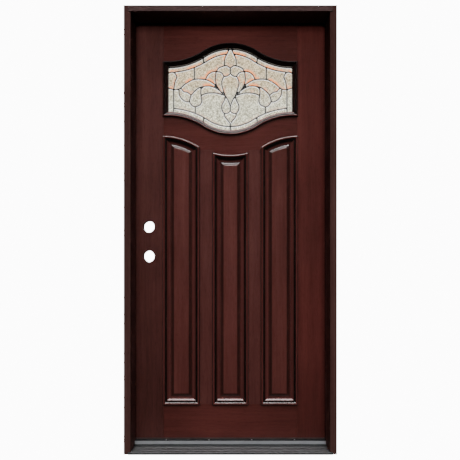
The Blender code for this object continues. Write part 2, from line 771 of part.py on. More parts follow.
def make_jamb(side, name, group, head_cut, sill_cut):
    """Make one upright of the frame: a rebated bar, housed for the head and notched for the sill."""
    profile = [(FRAME_HALF, FRAME_FRONT)]
    profile += [(2 * STOP_X - x, y) for x, y in arris(STOP_X, FRAME_FRONT, 1, -1)]
    profile += [(STOP_X, STOP_FACE), (REBATE_X, STOP_FACE), (REBATE_X, SLAB_BACK),
                (FRAME_HALF, SLAB_BACK)]
    jamb = extrusion([(side * x, y) for x, y in profile], 0, FRAME_TOP, PLAN)
    boolean(jamb, head_cut)
    boolean(jamb, sill_cut)
    return finish(jamb, name, "frame_wood", group)


def head_profile(gap=0.0):
    """Return the head jamb's section in Y and Z, or the housing for it when a gap is given."""
    if gap:
        return [(FRAME_FRONT - gap, HEAD_UNDER - gap), (STOP_FACE + gap, HEAD_UNDER - gap),
                (STOP_FACE + gap, HEAD_REBATE_Z - gap), (SLAB_BACK + gap, HEAD_REBATE_Z - gap),
                (SLAB_BACK + gap, FRAME_TOP + gap), (FRAME_FRONT - gap, FRAME_TOP + gap)]
    corner = [(FRAME_FRONT + HEAD_UNDER - z, HEAD_UNDER + y - FRAME_FRONT)
              for z, y in arris(HEAD_UNDER, FRAME_FRONT, -1, -1)]
    return corner + [(STOP_FACE, HEAD_UNDER), (STOP_FACE, HEAD_REBATE_Z),
                     (SLAB_BACK, HEAD_REBATE_Z), (SLAB_BACK, FRAME_TOP), (FRAME_FRONT, FRAME_TOP)]


def cap_y():
    """Return the front and back of the sill cap."""
    front = FRAME_FRONT + CAP_FRONT
    return front, front + CAP_DEPTH


def deck_line(y):
    """Return the height of the flat between the deck's ribs, which rises a little inwards."""
    front = FRAME_FRONT - NOSE_REACH
    return NOSE_HEIGHT + DECK_RISE * (y - front) / (cap_y()[1] - front)


def deck_profile():
    """Return the aluminium deck's section in Y and Z: nose, ribbed top, then its flat underside."""
    front = FRAME_FRONT - NOSE_REACH
    back = cap_y()[1]
    points = [(front, 0.0), (front, NOSE_HEIGHT - NOSE_ROUND), (front + NOSE_ROUND, NOSE_HEIGHT)]
    first = front + NOSE_LAND
    pitch = (cap_y()[0] - first) / RIB_COUNT
    for k in range(RIB_COUNT):
        start = first + k * pitch
        for along, up in ((0, 0), (RIB_SLOPE, RIB_HEIGHT), (RIB_WIDTH - RIB_SLOPE, RIB_HEIGHT),
                          (RIB_WIDTH, 0)):
            points.append((start + along, deck_line(start + along) + up))
    points += [(back, deck_line(back)), (back, deck_line(back) - DECK_THICK),
               (front + NOSE_DEPTH, deck_line(front + NOSE_DEPTH) - DECK_THICK),
               (front + NOSE_DEPTH, 0.0)]
    return points


def base_profile():
    """Return the section of the block under the deck, with the riser behind the cap."""
    start = FRAME_FRONT - NOSE_REACH + NOSE_DEPTH + FIT_GAP
    back = cap_y()[1] + FIT_GAP
    below = DECK_THICK + FIT_GAP
    return [(start, 0.0), (start, deck_line(start) - below), (back, deck_line(back) - below),
            (back, RISER_HEIGHT), (SLAB_BACK, RISER_HEIGHT), (SLAB_BACK, 0.0)]


def cap_profile():
    """Return the sill cap's section: an upright face, a rounded top edge and a level top."""
    front, back = cap_y()
    foot = deck_line(front) + CAP_FRONT_FOOT
    seat = deck_line(back) + FIT_GAP
    rim = CAP_ROUND
    return [(front, foot), (front, CAP_TOP - rim), (front + 0.3 * rim, CAP_TOP - 0.3 * rim),
            (front + rim, CAP_TOP), (back - rim, CAP_TOP), (back, CAP_TOP - rim), (back, seat),
            (front + CAP_WALL, seat), (front + CAP_WALL, foot)]


def sweep_profile():
    """Return the section of the sweep under the leaf: a flat base, a front lip and two fins."""
    top = LEAF_BOTTOM - FIT_GAP
    base = top - SWEEP_BASE
    tip = CAP_TOP + PLAY
    front = SLAB_FACE + SWEEP_SET_BACK
    back = cap_y()[1]
    points = [(front, top), (front, tip), (front + SWEEP_LIP, tip), (front + SWEEP_LIP, base)]
    for place in (0.4, 0.75):
        y = front + place * (back - front)
        points += [(y, base), (y, tip), (y + SWEEP_FIN, tip), (y + SWEEP_FIN, base)]
    points += [(SLAB_BACK - SWEEP_SET_BACK, base), (SLAB_BACK - SWEEP_SET_BACK, top)]
    return points


def sill_notch_profile():
    """Return the notch that each jamb has for the sill, in Y and Z."""
    gap = FIT_GAP
    front = FRAME_FRONT - NOSE_REACH - gap
    back = cap_y()[1]
    cap_front = cap_y()[0] - gap
    return [(front, -gap), (front, NOSE_HEIGHT + RIB_HEIGHT + gap),
            (cap_front, deck_line(back) + RIB_HEIGHT + gap), (cap_front, CAP_TOP + gap),
            (SLAB_BACK + gap, CAP_TOP + gap), (SLAB_BACK + gap, -gap)]


def make_sill(group, cutters):
    """Make the sill: the block, the ribbed deck, the adjustable cap and its screws."""
    half = REBATE_X - FIT_GAP
    finish(extrusion(base_profile(), -half, half, ALONG_X), "sill_base", "composite", group)
    finish(extrusion(deck_profile(), -half, half, ALONG_X), "sill_deck", "mill_aluminium", group)
    cap = extrusion(cap_profile(), -half, half, ALONG_X)
    finish(cap, "sill_cap", "cap_grey", group)
    y = cap_y()[0] + SCREW_SETBACK
    neck = -SCREW_HEAD_DEPTH / 2
    for number in range(SCREW_COUNT):
        place = Vector(((number - (SCREW_COUNT - 1) / 2) * SCREW_PITCH, y, CAP_TOP))
        screw = None
        for radius, low, high in ((SCREW_HEAD_RADIUS, -SCREW_HEAD_DEPTH, SCREW_STAND),
                                  (SCREW_SHANK_RADIUS, -SCREW_LENGTH, neck)):
            piece = cylinder(radius, low, high, SCREW_SIDES, place)
            hole = cylinder(radius + FIT_GAP, low - FIT_GAP, high + FIT_GAP, SCREW_SIDES, place)
            finish(hole, f"screw_hole_{number}_{radius}", None, cutters)
            boolean(cap, hole)
            if screw:
                finish(piece, f"screw_shank_{number}", None, cutters)
                boolean(screw, piece, "UNION")
            else:
                screw = piece
        finish(screw, f"cap_screw_{number + 1}", "screw_steel", group)


def strip_profile(side):
    """Return an upright weatherstrip's section in X and Y, with the corner towards the door cut."""
    outer = REBATE_X - FIT_GAP
    inner = REBATE_X - STRIP_WIDTH
    near = STOP_FACE + FIT_GAP
    far = SLAB_FACE - FIT_GAP
    return [(side * x, y) for x, y in (
        (outer, near), (outer, far), (inner + STRIP_NOSE, far), (inner, far - STRIP_NOSE),
        (inner, near))]


def make_weatherstrips(group):
    """Make the three weatherstrips that the closed leaf presses on."""
    top = HEAD_REBATE_Z - STRIP_WIDTH - FIT_GAP
    for side, name in ((-1, "weatherstrip_strike"), (1, "weatherstrip_hinge")):
        strip = extrusion(strip_profile(side), CAP_TOP + 2 * FIT_GAP, top, PLAN)
        finish(strip, name, "soft_seal", group)
    profile = [(y, HEAD_REBATE_Z + x - REBATE_X) for x, y in strip_profile(1)]
    head = extrusion(profile, FIT_GAP - REBATE_X, REBATE_X - FIT_GAP, ALONG_X)
    finish(head, "weatherstrip_head", "soft_seal", group)


def make_frame(group, cutters):
    """Make the three jambs, and return the hinge jamb."""
    house = REBATE_X + FIT_GAP
    head_cut = extrusion(head_profile(FIT_GAP), -house, house, ALONG_X)
    finish(head_cut, "head_housing", None, cutters)
    sill_cut = extrusion(sill_notch_profile(), -house, house, ALONG_X)
    finish(sill_cut, "sill_notch", None, cutters)
    make_jamb(-1, "strike_jamb", group, head_cut, sill_cut)
    jamb = make_jamb(1, "hinge_jamb", group, head_cut, sill_cut)
    finish(extrusion(head_profile(), -REBATE_X, REBATE_X, ALONG_X), "head_jamb", "frame_wood", group)
    return jamb


def make_lock_stile(group, pivot, cutters):
    """Make the lock stile with its two bores and the bores from its edge that meet them."""
    stile = box((-LEAF_HALF, SLAB_FACE, LEAF_BOTTOM), (FIT_GAP - OPENING_HALF, SLAB_BACK, LEAF_TOP))
    x = BORE_BACKSET - LEAF_HALF
    middle = (SLAB_FACE + SLAB_BACK) / 2
    for number in range(2):
        z = LEAF_BOTTOM + LATCH_BORE_HEIGHT + number * BORE_SPACING
        bore = cylinder(BORE_RADIUS, -LEAF_THICK, LEAF_THICK, BORE_SIDES, (x, middle, z), ALONG_Y)
        finish(bore, f"lock_bore_{number + 1}", None, cutters)
        boolean(stile, bore)
        edge = cylinder(EDGE_BORE_RADIUS, -BORE_BACKSET - CUT_MARGIN, 0, EDGE_BORE_SIDES,
                        (x, middle, z), ALONG_X)
        finish(edge, f"edge_bore_{number + 1}", None, cutters)
        boolean(stile, edge)
    return finish(stile, "lock_stile", "stained_wood", group, pivot)


def make_leaf_members(group, pivot, cutters):
    """Make the stiles, rails and mullions, cut for the panels and the window."""
    panel_cuts = {}
    for name, outline in PANELS.items():
        panel_cuts[name] = finish(panel_cutter(outline), f"panel_cut_{name}", None, cutters)
    window_cut = finish(window_cutter(), "window_cut", None, cutters)
    near, far = SLAB_FACE, SLAB_BACK
    rail_end = OPENING_HALF - 2 * FIT_GAP
    rail_head = LEAF_BOTTOM + BOTTOM_RAIL_HEIGHT + FIT_GAP
    lock_stile = make_lock_stile(group, pivot, cutters)
    hinge_stile = box((OPENING_HALF - FIT_GAP, near, LEAF_BOTTOM), (LEAF_HALF, far, LEAF_TOP))
    finish(hinge_stile, "hinge_stile", "stained_wood", group, pivot)
    top_rail = box((-rail_end, near, WINDOW_CENTRE), (rail_end, far, LEAF_TOP))
    finish(top_rail, "top_rail", "stained_wood", group, pivot)
    bottom_rail = box((-rail_end, near, LEAF_BOTTOM), (rail_end, far, rail_head))
    finish(bottom_rail, "bottom_rail", "stained_wood", group, pivot)

    joint = centre_panel_outline(MOULDING_LAP - GROOVE_DEPTH)[2][1] + SHOULDER_RISE
    tongue = MULLION_INNER - 2 * FIT_GAP
    dip = CENTRE_HEAD_Z - 2 * MOULDING_LAP
    middle_rail = box((-rail_end, near, dip), (rail_end, far, WINDOW_CENTRE))
    finish(middle_rail, "middle_rail", "stained_wood", group, pivot)
    for side, name, panel in ((-1, "mullion_left", "left"), (1, "mullion_right", "right")):
        low, high = sorted((side * (MULLION_INNER - FIT_GAP), side * (MULLION_OUTER + FIT_GAP)))
        mullion = box((low, near, rail_head + FIT_GAP), (high, far, joint - FIT_GAP))
        finish(mullion, name, "stained_wood", group, pivot)
        low, high = sorted((side * tongue, side * (MULLION_OUTER + GROOVE_DEPTH)))
        shoulder = box((low, near - GROOVE_DEPTH, dip - GROOVE_DEPTH), (high, far + GROOVE_DEPTH, joint))
        finish(shoulder, f"shoulder_cut_{panel}", None, cutters)
        boolean(middle_rail, shoulder)
        boolean(mullion, panel_cuts[panel])
        boolean(mullion, panel_cuts["centre"])

    boolean(lock_stile, panel_cuts["left"])
    boolean(hinge_stile, panel_cuts["right"])
    for stile in (lock_stile, hinge_stile):
        boolean(stile, window_cut)
    for cut in panel_cuts.values():
        boolean(bottom_rail, cut)
        boolean(middle_rail, cut)
    boolean(middle_rail, window_cut)
    boolean(top_rail, window_cut)
    return hinge_stile


def make_panels(group, pivot):
    """Make the raised panels and the mitred mouldings around them."""
    foot = -0.45 * MOULDING_LEG
    section = bolection_section(PANEL_MOULDING_WIDTH, foot, -MOULDING_LEG)
    for name, outline in PANELS.items():
        panel = raised_panel(outline)
        finish(panel, f"raised_panel_{name}", "stained_wood_panel", group, pivot)
        last = HEAD_STEPS + 2
        make_mouldings(f"panel_moulding_{name}", outline, (2, last, 0, 1), section,
                       "dark_moulding", group, pivot, mirrored=name == "left")


def make_window(group, pivot):
    """Make the window: its mouldings outside, its stops inside, the glass and the lead."""
    foot = -0.28 * MOULDING_LEG
    leg_end = -GLASS_SINK + FIT_GAP
    outside = bolection_section(WINDOW_MOULDING_WIDTH, foot, leg_end)
    corners = window_corners()
    make_mouldings("window_moulding", window_outline, corners, outside, "dark_moulding", group, pivot)
    glass_front = GLASS_SINK + CAME_THICK + FIT_GAP
    glass_back = glass_front + GLASS_THICK
    near = MOULDING_LAP + PLAY
    section = [(near, -glass_back - FIT_GAP), (near + STOP_WIDTH, -glass_back - FIT_GAP),
               (near + STOP_WIDTH, STOP_NOSE - LEAF_THICK),
               (near + STOP_TOP_WIDTH, FIT_GAP - LEAF_THICK), (near, FIT_GAP - LEAF_THICK)]
    make_mouldings("window_stop", window_outline, corners, section, "dark_moulding", group, pivot)
    edge = MOULDING_LAP + GLASS_EDGE_GAP
    glass = ring_body(window_outline, [(edge, -glass_front), (edge, -glass_back)])
    finish(glass, "leaded_glass", "pale_glass", group, pivot)
    finish(lead_cames(), "lead_cames", "dark_lead", group, pivot)


def main():
    """Build the whole door in its frame."""
    clear_scene()
    frame_group = make_collection("front_door_frame")
    leaf_group = make_collection("front_door_leaf")
    cutters = make_collection("cutters")
    pivot = bpy.data.objects.new("door_hinge_axis", None)
    pivot.location = (HINGE_X, HINGE_Y, 0)
    leaf_group.objects.link(pivot)
    bpy.context.view_layer.update()

    hinge_jamb = make_frame(frame_group, cutters)
    make_sill(frame_group, cutters)
    make_weatherstrips(frame_group)
    hinge_stile = make_leaf_members(leaf_group, pivot, cutters)
    make_panels(leaf_group, pivot)
    make_window(leaf_group, pivot)
    finish(extrusion(sweep_profile(), -LEAF_HALF, LEAF_HALF, ALONG_X), "door_sweep", "sweep_vinyl",
           leaf_group, pivot)

    top = LEAF_TOP - TOP_HINGE_DROP - HINGE_HEIGHT / 2
    bottom = LEAF_BOTTOM + BOTTOM_HINGE_RISE + HINGE_HEIGHT / 2
    for number, z in enumerate((bottom, (bottom + top) / 2, top), start=1):
        make_hinge(number, z, frame_group, cutters, leaf_group, pivot, hinge_jamb, hinge_stile)


main()
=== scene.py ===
"""A pre-hung front door: its wood, glass, lead and metal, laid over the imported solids.

X runs to the right as seen from outside, Y from outside to inside, Z is up, sizes are in metres.
"""

import math
from functools import partial

import bpy
import numpy as np
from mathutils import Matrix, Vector
from mathutils.geometry import delaunay_2d_cdt


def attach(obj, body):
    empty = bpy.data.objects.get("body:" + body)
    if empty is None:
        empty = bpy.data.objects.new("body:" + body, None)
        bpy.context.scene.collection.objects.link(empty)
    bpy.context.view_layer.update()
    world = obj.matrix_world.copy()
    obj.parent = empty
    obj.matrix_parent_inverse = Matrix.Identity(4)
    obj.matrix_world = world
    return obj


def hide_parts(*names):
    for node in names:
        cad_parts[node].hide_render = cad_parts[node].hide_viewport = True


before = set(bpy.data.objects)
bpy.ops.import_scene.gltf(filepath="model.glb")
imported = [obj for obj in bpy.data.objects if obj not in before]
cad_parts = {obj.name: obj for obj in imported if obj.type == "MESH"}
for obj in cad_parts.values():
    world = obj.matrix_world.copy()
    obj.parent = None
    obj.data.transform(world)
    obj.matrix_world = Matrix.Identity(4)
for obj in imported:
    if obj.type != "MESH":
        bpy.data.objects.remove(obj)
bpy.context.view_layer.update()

# The door's own sizes
SLAB_FACE = 0.0389
LEAF_THICK = 0.04445
OUTER_HALF = 0.3183
LAP = 0.004
PROUD = 0.009
FIT_GAP = 0.0003
MITRE_GAP = 0.0002
PLAY = 0.0006
CROWN_RADIUS = 0.2425
FLANK_RADIUS = 0.297
OGEE_ANGLE = math.radians(33.0)
WINDOW_HEIGHT = 0.435
WINDOW_CENTRE = 1.6731
PANEL_FOOT = 0.1873
SIDE_HEAD_Z = 1.4536
SIDE_HEAD_RADIUS = 0.313
CENTRE_HEAD_Z = 1.3635
CENTRE_HEAD_RADIUS = 0.315
MULLION_INNER = 0.081
MULLION_OUTER = 0.1523
PANEL_MOULDING = 0.0344
WINDOW_MOULDING = 0.0245
LEG = 0.0097
PANEL_BEAD = 0.0118
WINDOW_BEAD = 0.0098
FIELD_SET_IN = 0.0545
BEVEL_SET_IN = 0.0395
MULLION_SPREAD = 0.0055
HEAD_LIFT = 0.0035
EDGE_FILLET = 0.0012
JAMB_FACE = 0.4434
CAP_FACE = 0.0117
FIELD_SINK = 0.0012
GROOVE_DEPTH = 0.009
GROOVE_FRONT = 0.014
GROOVE_WIDTH = 0.014
SHRINK_GAP = 0.002
INSIDE_CHAMFER = 0.006
STOP_WIDTH = 0.014
STOP_TOP_WIDTH = 0.007
STOP_NOSE = 0.008
GLASS_SINK = 0.015
CAME_THICK = 0.0022
GLASS_THICK = 0.004
OGEE_SPAN = (CROWN_RADIUS + FLANK_RADIUS) * math.sin(OGEE_ANGLE)
OGEE_RISE = (CROWN_RADIUS + FLANK_RADIUS) * (1 - math.cos(OGEE_ANGLE))
WINDOW_CORNER = WINDOW_HEIGHT / 2 - OGEE_RISE

# The leaded glass
CAME_WIDTH = 0.0046
RIM_INSET = 0.0265
BEVEL_WIDTH = 0.0052
BEVEL_DEPTH = 0.0012
LINE_STEP = 0.0024
BORDER_WIDTH = 0.021
SIDE_BORDER_X = 0.2685
UPPER_BAR_X = 0.1705
LOWER_BAR_X = 0.166
CROSS_BAR_X = 0.127
CAME_BOW = 0.0014
CAME_BACK_BOW = 0.0005
GLASS_TUCK = 0.0012
GLASS_BACK_TUCK = 0.0008
GLOW_WIDTH = 0.0105
RIM_SHADE_WIDTH = 0.0016
FLAT_STEP = 0.008
FLAT_MARGIN = 0.003
RIM_TUCK = 0.0007
RIM_REACH = 0.004
RIM_CLEAR = 2e-4
LEAD_EDGE = 0.0062
LEAD_DEPTH = 0.0058
SMALLEST_AREA = 1e-10
NEAR = 2e-5
SPECK = 1e-9

# Meshes and colours that several pieces share
SMOOTH_ANGLE = 32
BEAD_STEPS = 17
CYMA_STEPS = 17
# Painted shade: the dark colour mixed into the wood where shade falls under ledges, in hollows and
# on the jambs' inner faces
PAINTED_SHADE_COLOUR = (0.0058, 0.0034, 0.0028, 1.0)
DARK_PORES = (0.006, 0.002, 0.0015, 1.0)
# Painted shade for the sill's metal
PAINTED_METAL_SHADE = (0.006, 0.007, 0.007, 1.0)
UPPER_GLASS, LOWER_GLASS = (0.325, 0.27, 0.175, 1.0), (0.35, 0.345, 0.265, 1.0)
SPARKLE = (0.42, 0.41, 0.38, 1.0), (1.85, 1.82, 1.78, 1.0)
PALE_GLINT, WARM_GLINT = (1.0, 1.0, 0.98, 1.0), (0.70, 0.24, 0.09, 1.0)
GLASS_EDGE = (0.10, 0.095, 0.085, 1.0)
# Finishes whose pieces carry their painted shade as an attribute
PAINTED = ("moulding_wood", "window_moulding_wood", "panel_wood")
# Where extra darkening starts and ends and how much it is: up the stiles, painted shade out from
# the jambs' faces, and towards the rails' ends
STILE_FEET = {"lock_stile_wood": (0.1, 0.9, 0.2), "hinge_stile_wood": (0.05, 0.45, 0.3)}
JAMB_EDGES = ((0.0030, 0.0036, 0.45), (0.0002, 0.0006, 1.0))
RAIL_ENDS = (0.08, 0.28, 0.0, 0.2)
# Where painted shade darkens the metal: behind the cap's face, in the gutter, on the nose's top and
# front
CAP_TOP = (CAP_FACE + 0.0022, CAP_FACE + 0.0030)
GUTTER = (CAP_FACE - 0.022, CAP_FACE - 0.020)
NOSE_TOP = (0.0090, 0.0098, 0.85, 0.0)
NOSE_FRONT = (-0.0835, -0.0815, 0.85, 0.0)
STUFF_OUTPUTS = [("Colour", "NodeSocketColor"), ("Roughness", "NodeSocketFloat"),
                 ("Height", "NodeSocketFloat")]

# The studio and the view
WHITE = (12.0, 12.0, 12.0, 1.0)
SEEN_THROUGH = (3.0, 3.0, 3.0, 1.0)
SOFT_SPREAD = math.radians(28.0)
FLOOR_DROP = -0.0005
LENS = 39.70
LENS_SHIFT = (-0.0007, 0.0696)
CAMERA_PLACE = (0.0, -2.3474, 0.8594)


# Meshes

def new_object(name, data):
    """An object in the scene."""
    made = bpy.data.objects.new(name, data)
    bpy.context.scene.collection.objects.link(made)
    return made


def signed_volume(points, faces):
    """Sum over faces of (a . (b x c)) / 6 for each fan triangle: positive when faces look out."""
    total = 0.0
    for block in faces:
        a = points[block[:, 0]]
        for k in range(1, block.shape[1] - 1):
            across = np.cross(points[block[:, k]], points[block[:, k + 1]])
            total += np.einsum("ij,ij->i", a, across).sum()
    return total / 6


def mesh_piece(name, points, faces, look, body, uv=None, masks=None, angle=SMOOTH_ANGLE):
    """Make one mesh from a point array and blocks of faces, and hang it on its body.

    uv holds one pair for each point. masks holds named single values for each point.
    """
    points = np.asarray(points, float).reshape(-1, 3)
    faces = [np.asarray(block, int) for block in faces]
    if signed_volume(points, faces) < 0:
        faces = [block[:, ::-1] for block in faces]
    mesh = bpy.data.meshes.new(name)
    mesh.from_pydata(points.tolist(), [], [face for block in faces for face in block.tolist()])
    mesh.polygons.foreach_set("use_smooth", np.ones(len(mesh.polygons), bool))
    mesh.set_sharp_from_angle(angle=math.radians(angle))
    if uv is not None:
        loops = np.empty(len(mesh.loops), int)
        mesh.loops.foreach_get("vertex_index", loops)
        layer = mesh.uv_layers.new(name="grain")
        layer.data.foreach_set("uv", np.asarray(uv, float).reshape(-1, 2)[loops].ravel())
    for key, values in (masks or {}).items():
        layer = mesh.attributes.new(key, "FLOAT", "POINT")
        layer.data.foreach_set("value", np.asarray(values, np.float32))
    mesh.materials.append(look)
    piece = new_object(name, mesh)
    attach(piece, body)
    return piece


def grid_faces(rows, columns, wrap=False):
    """Quads of a grid numbered row by row; wrap joins the last column to the first."""
    last = columns if wrap else columns - 1
    i, j = np.meshgrid(np.arange(rows - 1), np.arange(last), indexing="ij")
    k = (j + 1) % columns
    quads = (i * columns + j, i * columns + k, (i + 1) * columns + k, (i + 1) * columns + j)
    return np.stack(quads, -1).reshape(-1, 4)


def bar_faces(count, around):
    """Faces of a closed bar of count loops with around points each: its walls and two caps."""
    caps = np.array([np.arange(around)[::-1], np.arange(around) + (count - 1) * around])
    return [grid_faces(count, around, True), caps]


def loft(name, rows, look, body, seed, painted_shade):
    """A closed bar: rows[i, j] is point j of the section at place i of the path, both ends capped.

    The grain's UV is (length round the section, length along the path) in metres, and painted_shade
    is how much painted shade darkens each point of the section.
    """
    count, around = rows.shape[:2]
    across = np.linalg.norm(np.roll(rows, -1, 1) - rows, axis=2).cumsum(1)
    along = np.linalg.norm(np.diff(rows, axis=0), axis=2).cumsum(0)
    along = np.vstack([np.zeros((1, around)), along])
    uv = np.stack([across + seed * 0.37, along + seed * 1.91], -1)
    masks = None if painted_shade is None else {"painted_shade": np.tile(painted_shade, count)}
    return mesh_piece(name, rows, bar_faces(count, around), look, body, uv, masks)


def ring(name, outlines, heights, corners, painted_shade, look, body):
    """A closed body whose row i is outlines[i], a loop in X and Z, at heights[i] out from the leaf.

    The edges that run from row to row at the numbered corners are sharp mitres.
    """
    count, around = len(outlines), len(outlines[0])
    rows = np.empty((count, around, 3))
    rows[:, :, 0] = np.array(outlines)[:, :, 0]
    rows[:, :, 1] = SLAB_FACE - np.array(heights)[:, None]
    rows[:, :, 2] = np.array(outlines)[:, :, 1]
    masks = {"painted_shade": np.repeat(painted_shade, around)}
    piece = mesh_piece(name, rows, bar_faces(count, around), look, body, masks=masks)
    ends = np.empty(2 * len(piece.data.edges), int)
    piece.data.edges.foreach_get("vertices", ends)
    first, second = (ends.reshape(-1, 2) % around).T
    mitres = np.nonzero((first == second) & np.isin(first, corners))[0]
    for index in mitres.tolist():
        piece.data.edges[index].use_edge_sharp = True
    return piece


# Outlines of the window and the panels

def window_head(inset, steps=20):
    """The window's head from its right corner to its left, at an inset from the moulding's edge.

    The crown is an arc of radius R - inset and each flank an arc of radius r + inset, tangent where
    both stand at the ogee's angle; a flank ends level, or where it meets the side.
    """
    crown, flank = CROWN_RADIUS - inset, FLANK_RADIUS + inset
    corner_x = OUTER_HALF - inset
    low = math.asin(min(1.0, max(0.0, OGEE_SPAN - corner_x) / flank))
    turn = np.linspace(low, OGEE_ANGLE, steps)
    flank_x = OGEE_SPAN - flank * np.sin(turn)
    flank_z = WINDOW_CORNER + FLANK_RADIUS - flank * np.cos(turn)
    flank_x[0] = corner_x
    turn = np.linspace(OGEE_ANGLE, 0, steps)[1:]
    crown_x = crown * np.sin(turn)
    crown_z = WINDOW_HEIGHT / 2 - CROWN_RADIUS + crown * np.cos(turn)
    half = np.stack([np.concatenate([flank_x, crown_x]), np.concatenate([flank_z, crown_z])], 1)
    return np.vstack([half, half[-2::-1] * (-1, 1)])


def window_edge(side, inset):
    """One side of the window at an inset, as a path in X and Z."""
    head = window_head(inset)
    corner = head[0]
    paths = {
        "top": head,
        "bottom": head[::-1] * (1, -1),
        "right": np.array([corner * (1, -1), corner]),
        "left": np.array([corner * (-1, 1), corner * (-1, -1)]),
    }
    return paths[side] + (0, WINDOW_CENTRE)


def panel_loop(name, inset, spread=0.0, lift=0.0, steps=24):
    """A panel's outline at an inset: two foot corners, then its arched head from right to left.

    spread carries a side panel's edge that much farther over its mullion, and lift raises its head.
    """
    if name == "centre":
        half = MULLION_INNER + LAP - inset
        x = np.linspace(half, -half, steps + 1)
        fall = np.sqrt((CENTRE_HEAD_RADIUS + inset) ** 2 - x ** 2)
        z = CENTRE_HEAD_Z + lift + CENTRE_HEAD_RADIUS - fall
        foot = [(-half, PANEL_FOOT + inset), (half, PANEL_FOOT + inset)]
        return np.vstack([foot, np.stack([x, z], 1)])
    outer, inner = OUTER_HALF - inset, MULLION_OUTER - LAP - spread + inset
    x = np.linspace(outer, inner, steps + 1)
    rise = np.sqrt((SIDE_HEAD_RADIUS - inset) ** 2 - (x - OUTER_HALF) ** 2)
    z = SIDE_HEAD_Z + lift - SIDE_HEAD_RADIUS + rise
    foot = [(inner, PANEL_FOOT + inset), (outer, PANEL_FOOT + inset)]
    loop = np.vstack([foot, np.stack([x, z], 1)])
    return loop * (-1, 1) if name == "left" else loop


def panel_edge(name, side, inset):
    """One side of a panel's outline at an inset, as a path in X and Z."""
    loop = panel_loop(name, inset, MULLION_SPREAD)
    flip = name == "left"
    places = {"bottom": [0, 1], "right": [0, -1] if flip else [1, 2],
              "left": [1, 2] if flip else [0, -1], "top": list(range(2, len(loop)))}
    return loop[places[side]]


def bolection(width, foot, leg_end, bead):
    """The moulding's section: a broad bead, a quirk, a long cyma down to its foot, its leg.

    The bead is half an ellipse. The cyma's height falls as t - k sin(2 pi t) / (2 pi), hollow after
    round. Painted shade darkens the quirk, the hollows and the bead's flanks, and thins out on the
    crests.
    """
    half, low = bead / 2, 0.36 * PROUD
    turn = np.linspace(np.pi, 0, BEAD_STEPS)
    crest = np.stack([EDGE_FILLET + half + half * np.cos(turn),
                      low + (PROUD - low) * np.sin(turn)], 1)
    quirk_x, quirk_h = EDGE_FILLET + bead + 0.0014, 0.22 * PROUD
    start_x, start_h = quirk_x + 0.0007, 0.50 * PROUD
    t = np.linspace(0, 1, CYMA_STEPS)
    fall = t - 0.66 * np.sin(2 * np.pi * t) / (2 * np.pi)
    cyma = np.stack([start_x + (width - start_x) * t, start_h + (foot - start_h) * fall], 1)
    lap = LAP + PLAY
    section = np.vstack([[(0, FIT_GAP)], crest, [(quirk_x - 0.0010, quirk_h), (quirk_x, quirk_h)],
                         cyma, [(width, leg_end), (lap, leg_end), (lap, FIT_GAP)]])
    side = np.clip(3.0 * np.abs(np.cos(turn)) - 1.5, 0, 1)
    painted_shade = np.concatenate([[1.0], side, [1.0, 1.0], np.clip(1.6 - 3.4 * t, 0.0, 1.0),
                            [1.0, 1.0, 1.0]])
    return section, painted_shade


def mitred_bar(node, edge, side, section, look, seed, painted_shade=None):
    """Carry a section of insets and heights along one side of an outline, mitred at both ends."""
    paths = np.stack([edge(side, inset) for inset, _ in section], 1)
    rows = np.empty(paths.shape[:2] + (3,))
    rows[:, :, 0], rows[:, :, 2] = paths[:, :, 0], paths[:, :, 1]
    rows[:, :, 1] = SLAB_FACE - section[:, 1]
    axis = 0 if side in ("top", "bottom") else 2
    step = MITRE_GAP * np.sign(rows[-1, 0, axis] - rows[0, 0, axis])
    rows[0, :, axis] += step
    rows[-1, :, axis] -= step
    piece = loft(f"{node}_shaped", rows, look, "door", seed, painted_shade)
    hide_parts(node)


# Shaders

def feed(node, inputs):
    """Link or set each of a node's named or numbered inputs."""
    for key, value in inputs.items():
        if isinstance(value, bpy.types.NodeSocket):
            node.id_data.links.new(value, node.inputs[key])
        else:
            node.inputs[key].default_value = value


def put(tree, kind, inputs=None, **settings):
    """Add a node, set its options, and give each input a value or a link."""
    made = tree.nodes.new(kind)
    for key, value in settings.items():
        setattr(made, key, value)
    feed(made, inputs or {})
    return made


def new_group(name, takes, gives):
    """Start a shader group with named inputs (name, kind, value) and outputs (name, kind)."""
    tree = bpy.data.node_groups.new(name, "ShaderNodeTree")
    for label, kind, value in takes:
        socket = tree.interface.new_socket(name=label, in_out="INPUT", socket_type=kind)
        if value is not None:
            socket.default_value = value
    for label, kind in gives:
        tree.interface.new_socket(name=label, in_out="OUTPUT", socket_type=kind)
    return tree, tree.nodes.new("NodeGroupInput"), tree.nodes.new("NodeGroupOutput")


def maths(tree, operation, a, b=0.0, clamp=False):
    """One Math node's result."""
    made = put(tree, "ShaderNodeMath", {0: a, 1: b}, operation=operation, use_clamp=clamp)
    return made.outputs[0]


def times(tree, a, b):
    """A product."""
    return maths(tree, "MULTIPLY", a, b)


def plus(tree, a, b):
    """A sum."""
    return maths(tree, "ADD", a, b)


def larger(tree, a, b):
    """The larger of two values."""
    return maths(tree, "MAXIMUM", a, b)


def vector_maths(tree, operation, a, b):
    """One Vector Math node's vector."""
    return put(tree, "ShaderNodeVectorMath", {0: a, 1: b}, operation=operation).outputs[0]


def object_place(tree):
    """The place on the piece, in Object coordinates."""
    return tree.nodes.new("ShaderNodeTexCoord").outputs["Object"]


def split(tree, vector):
    """A vector's three parts."""
    return tuple(put(tree, "ShaderNodeSeparateXYZ", {0: vector}).outputs)


def attribute(tree, name):
    """A named value that the mesh carries."""
    return put(tree, "ShaderNodeAttribute", attribute_name=name).outputs["Fac"]


def noise(tree, vector, scale, detail=2.0, roughness=0.5, distortion=0.0):
    """One Noise Texture's value, from 0 to 1."""
    return put(tree, "ShaderNodeTexNoise",
               {"Vector": vector, "Scale": scale, "Detail": detail, "Roughness": roughness,
                "Distortion": distortion}).outputs["Fac"]


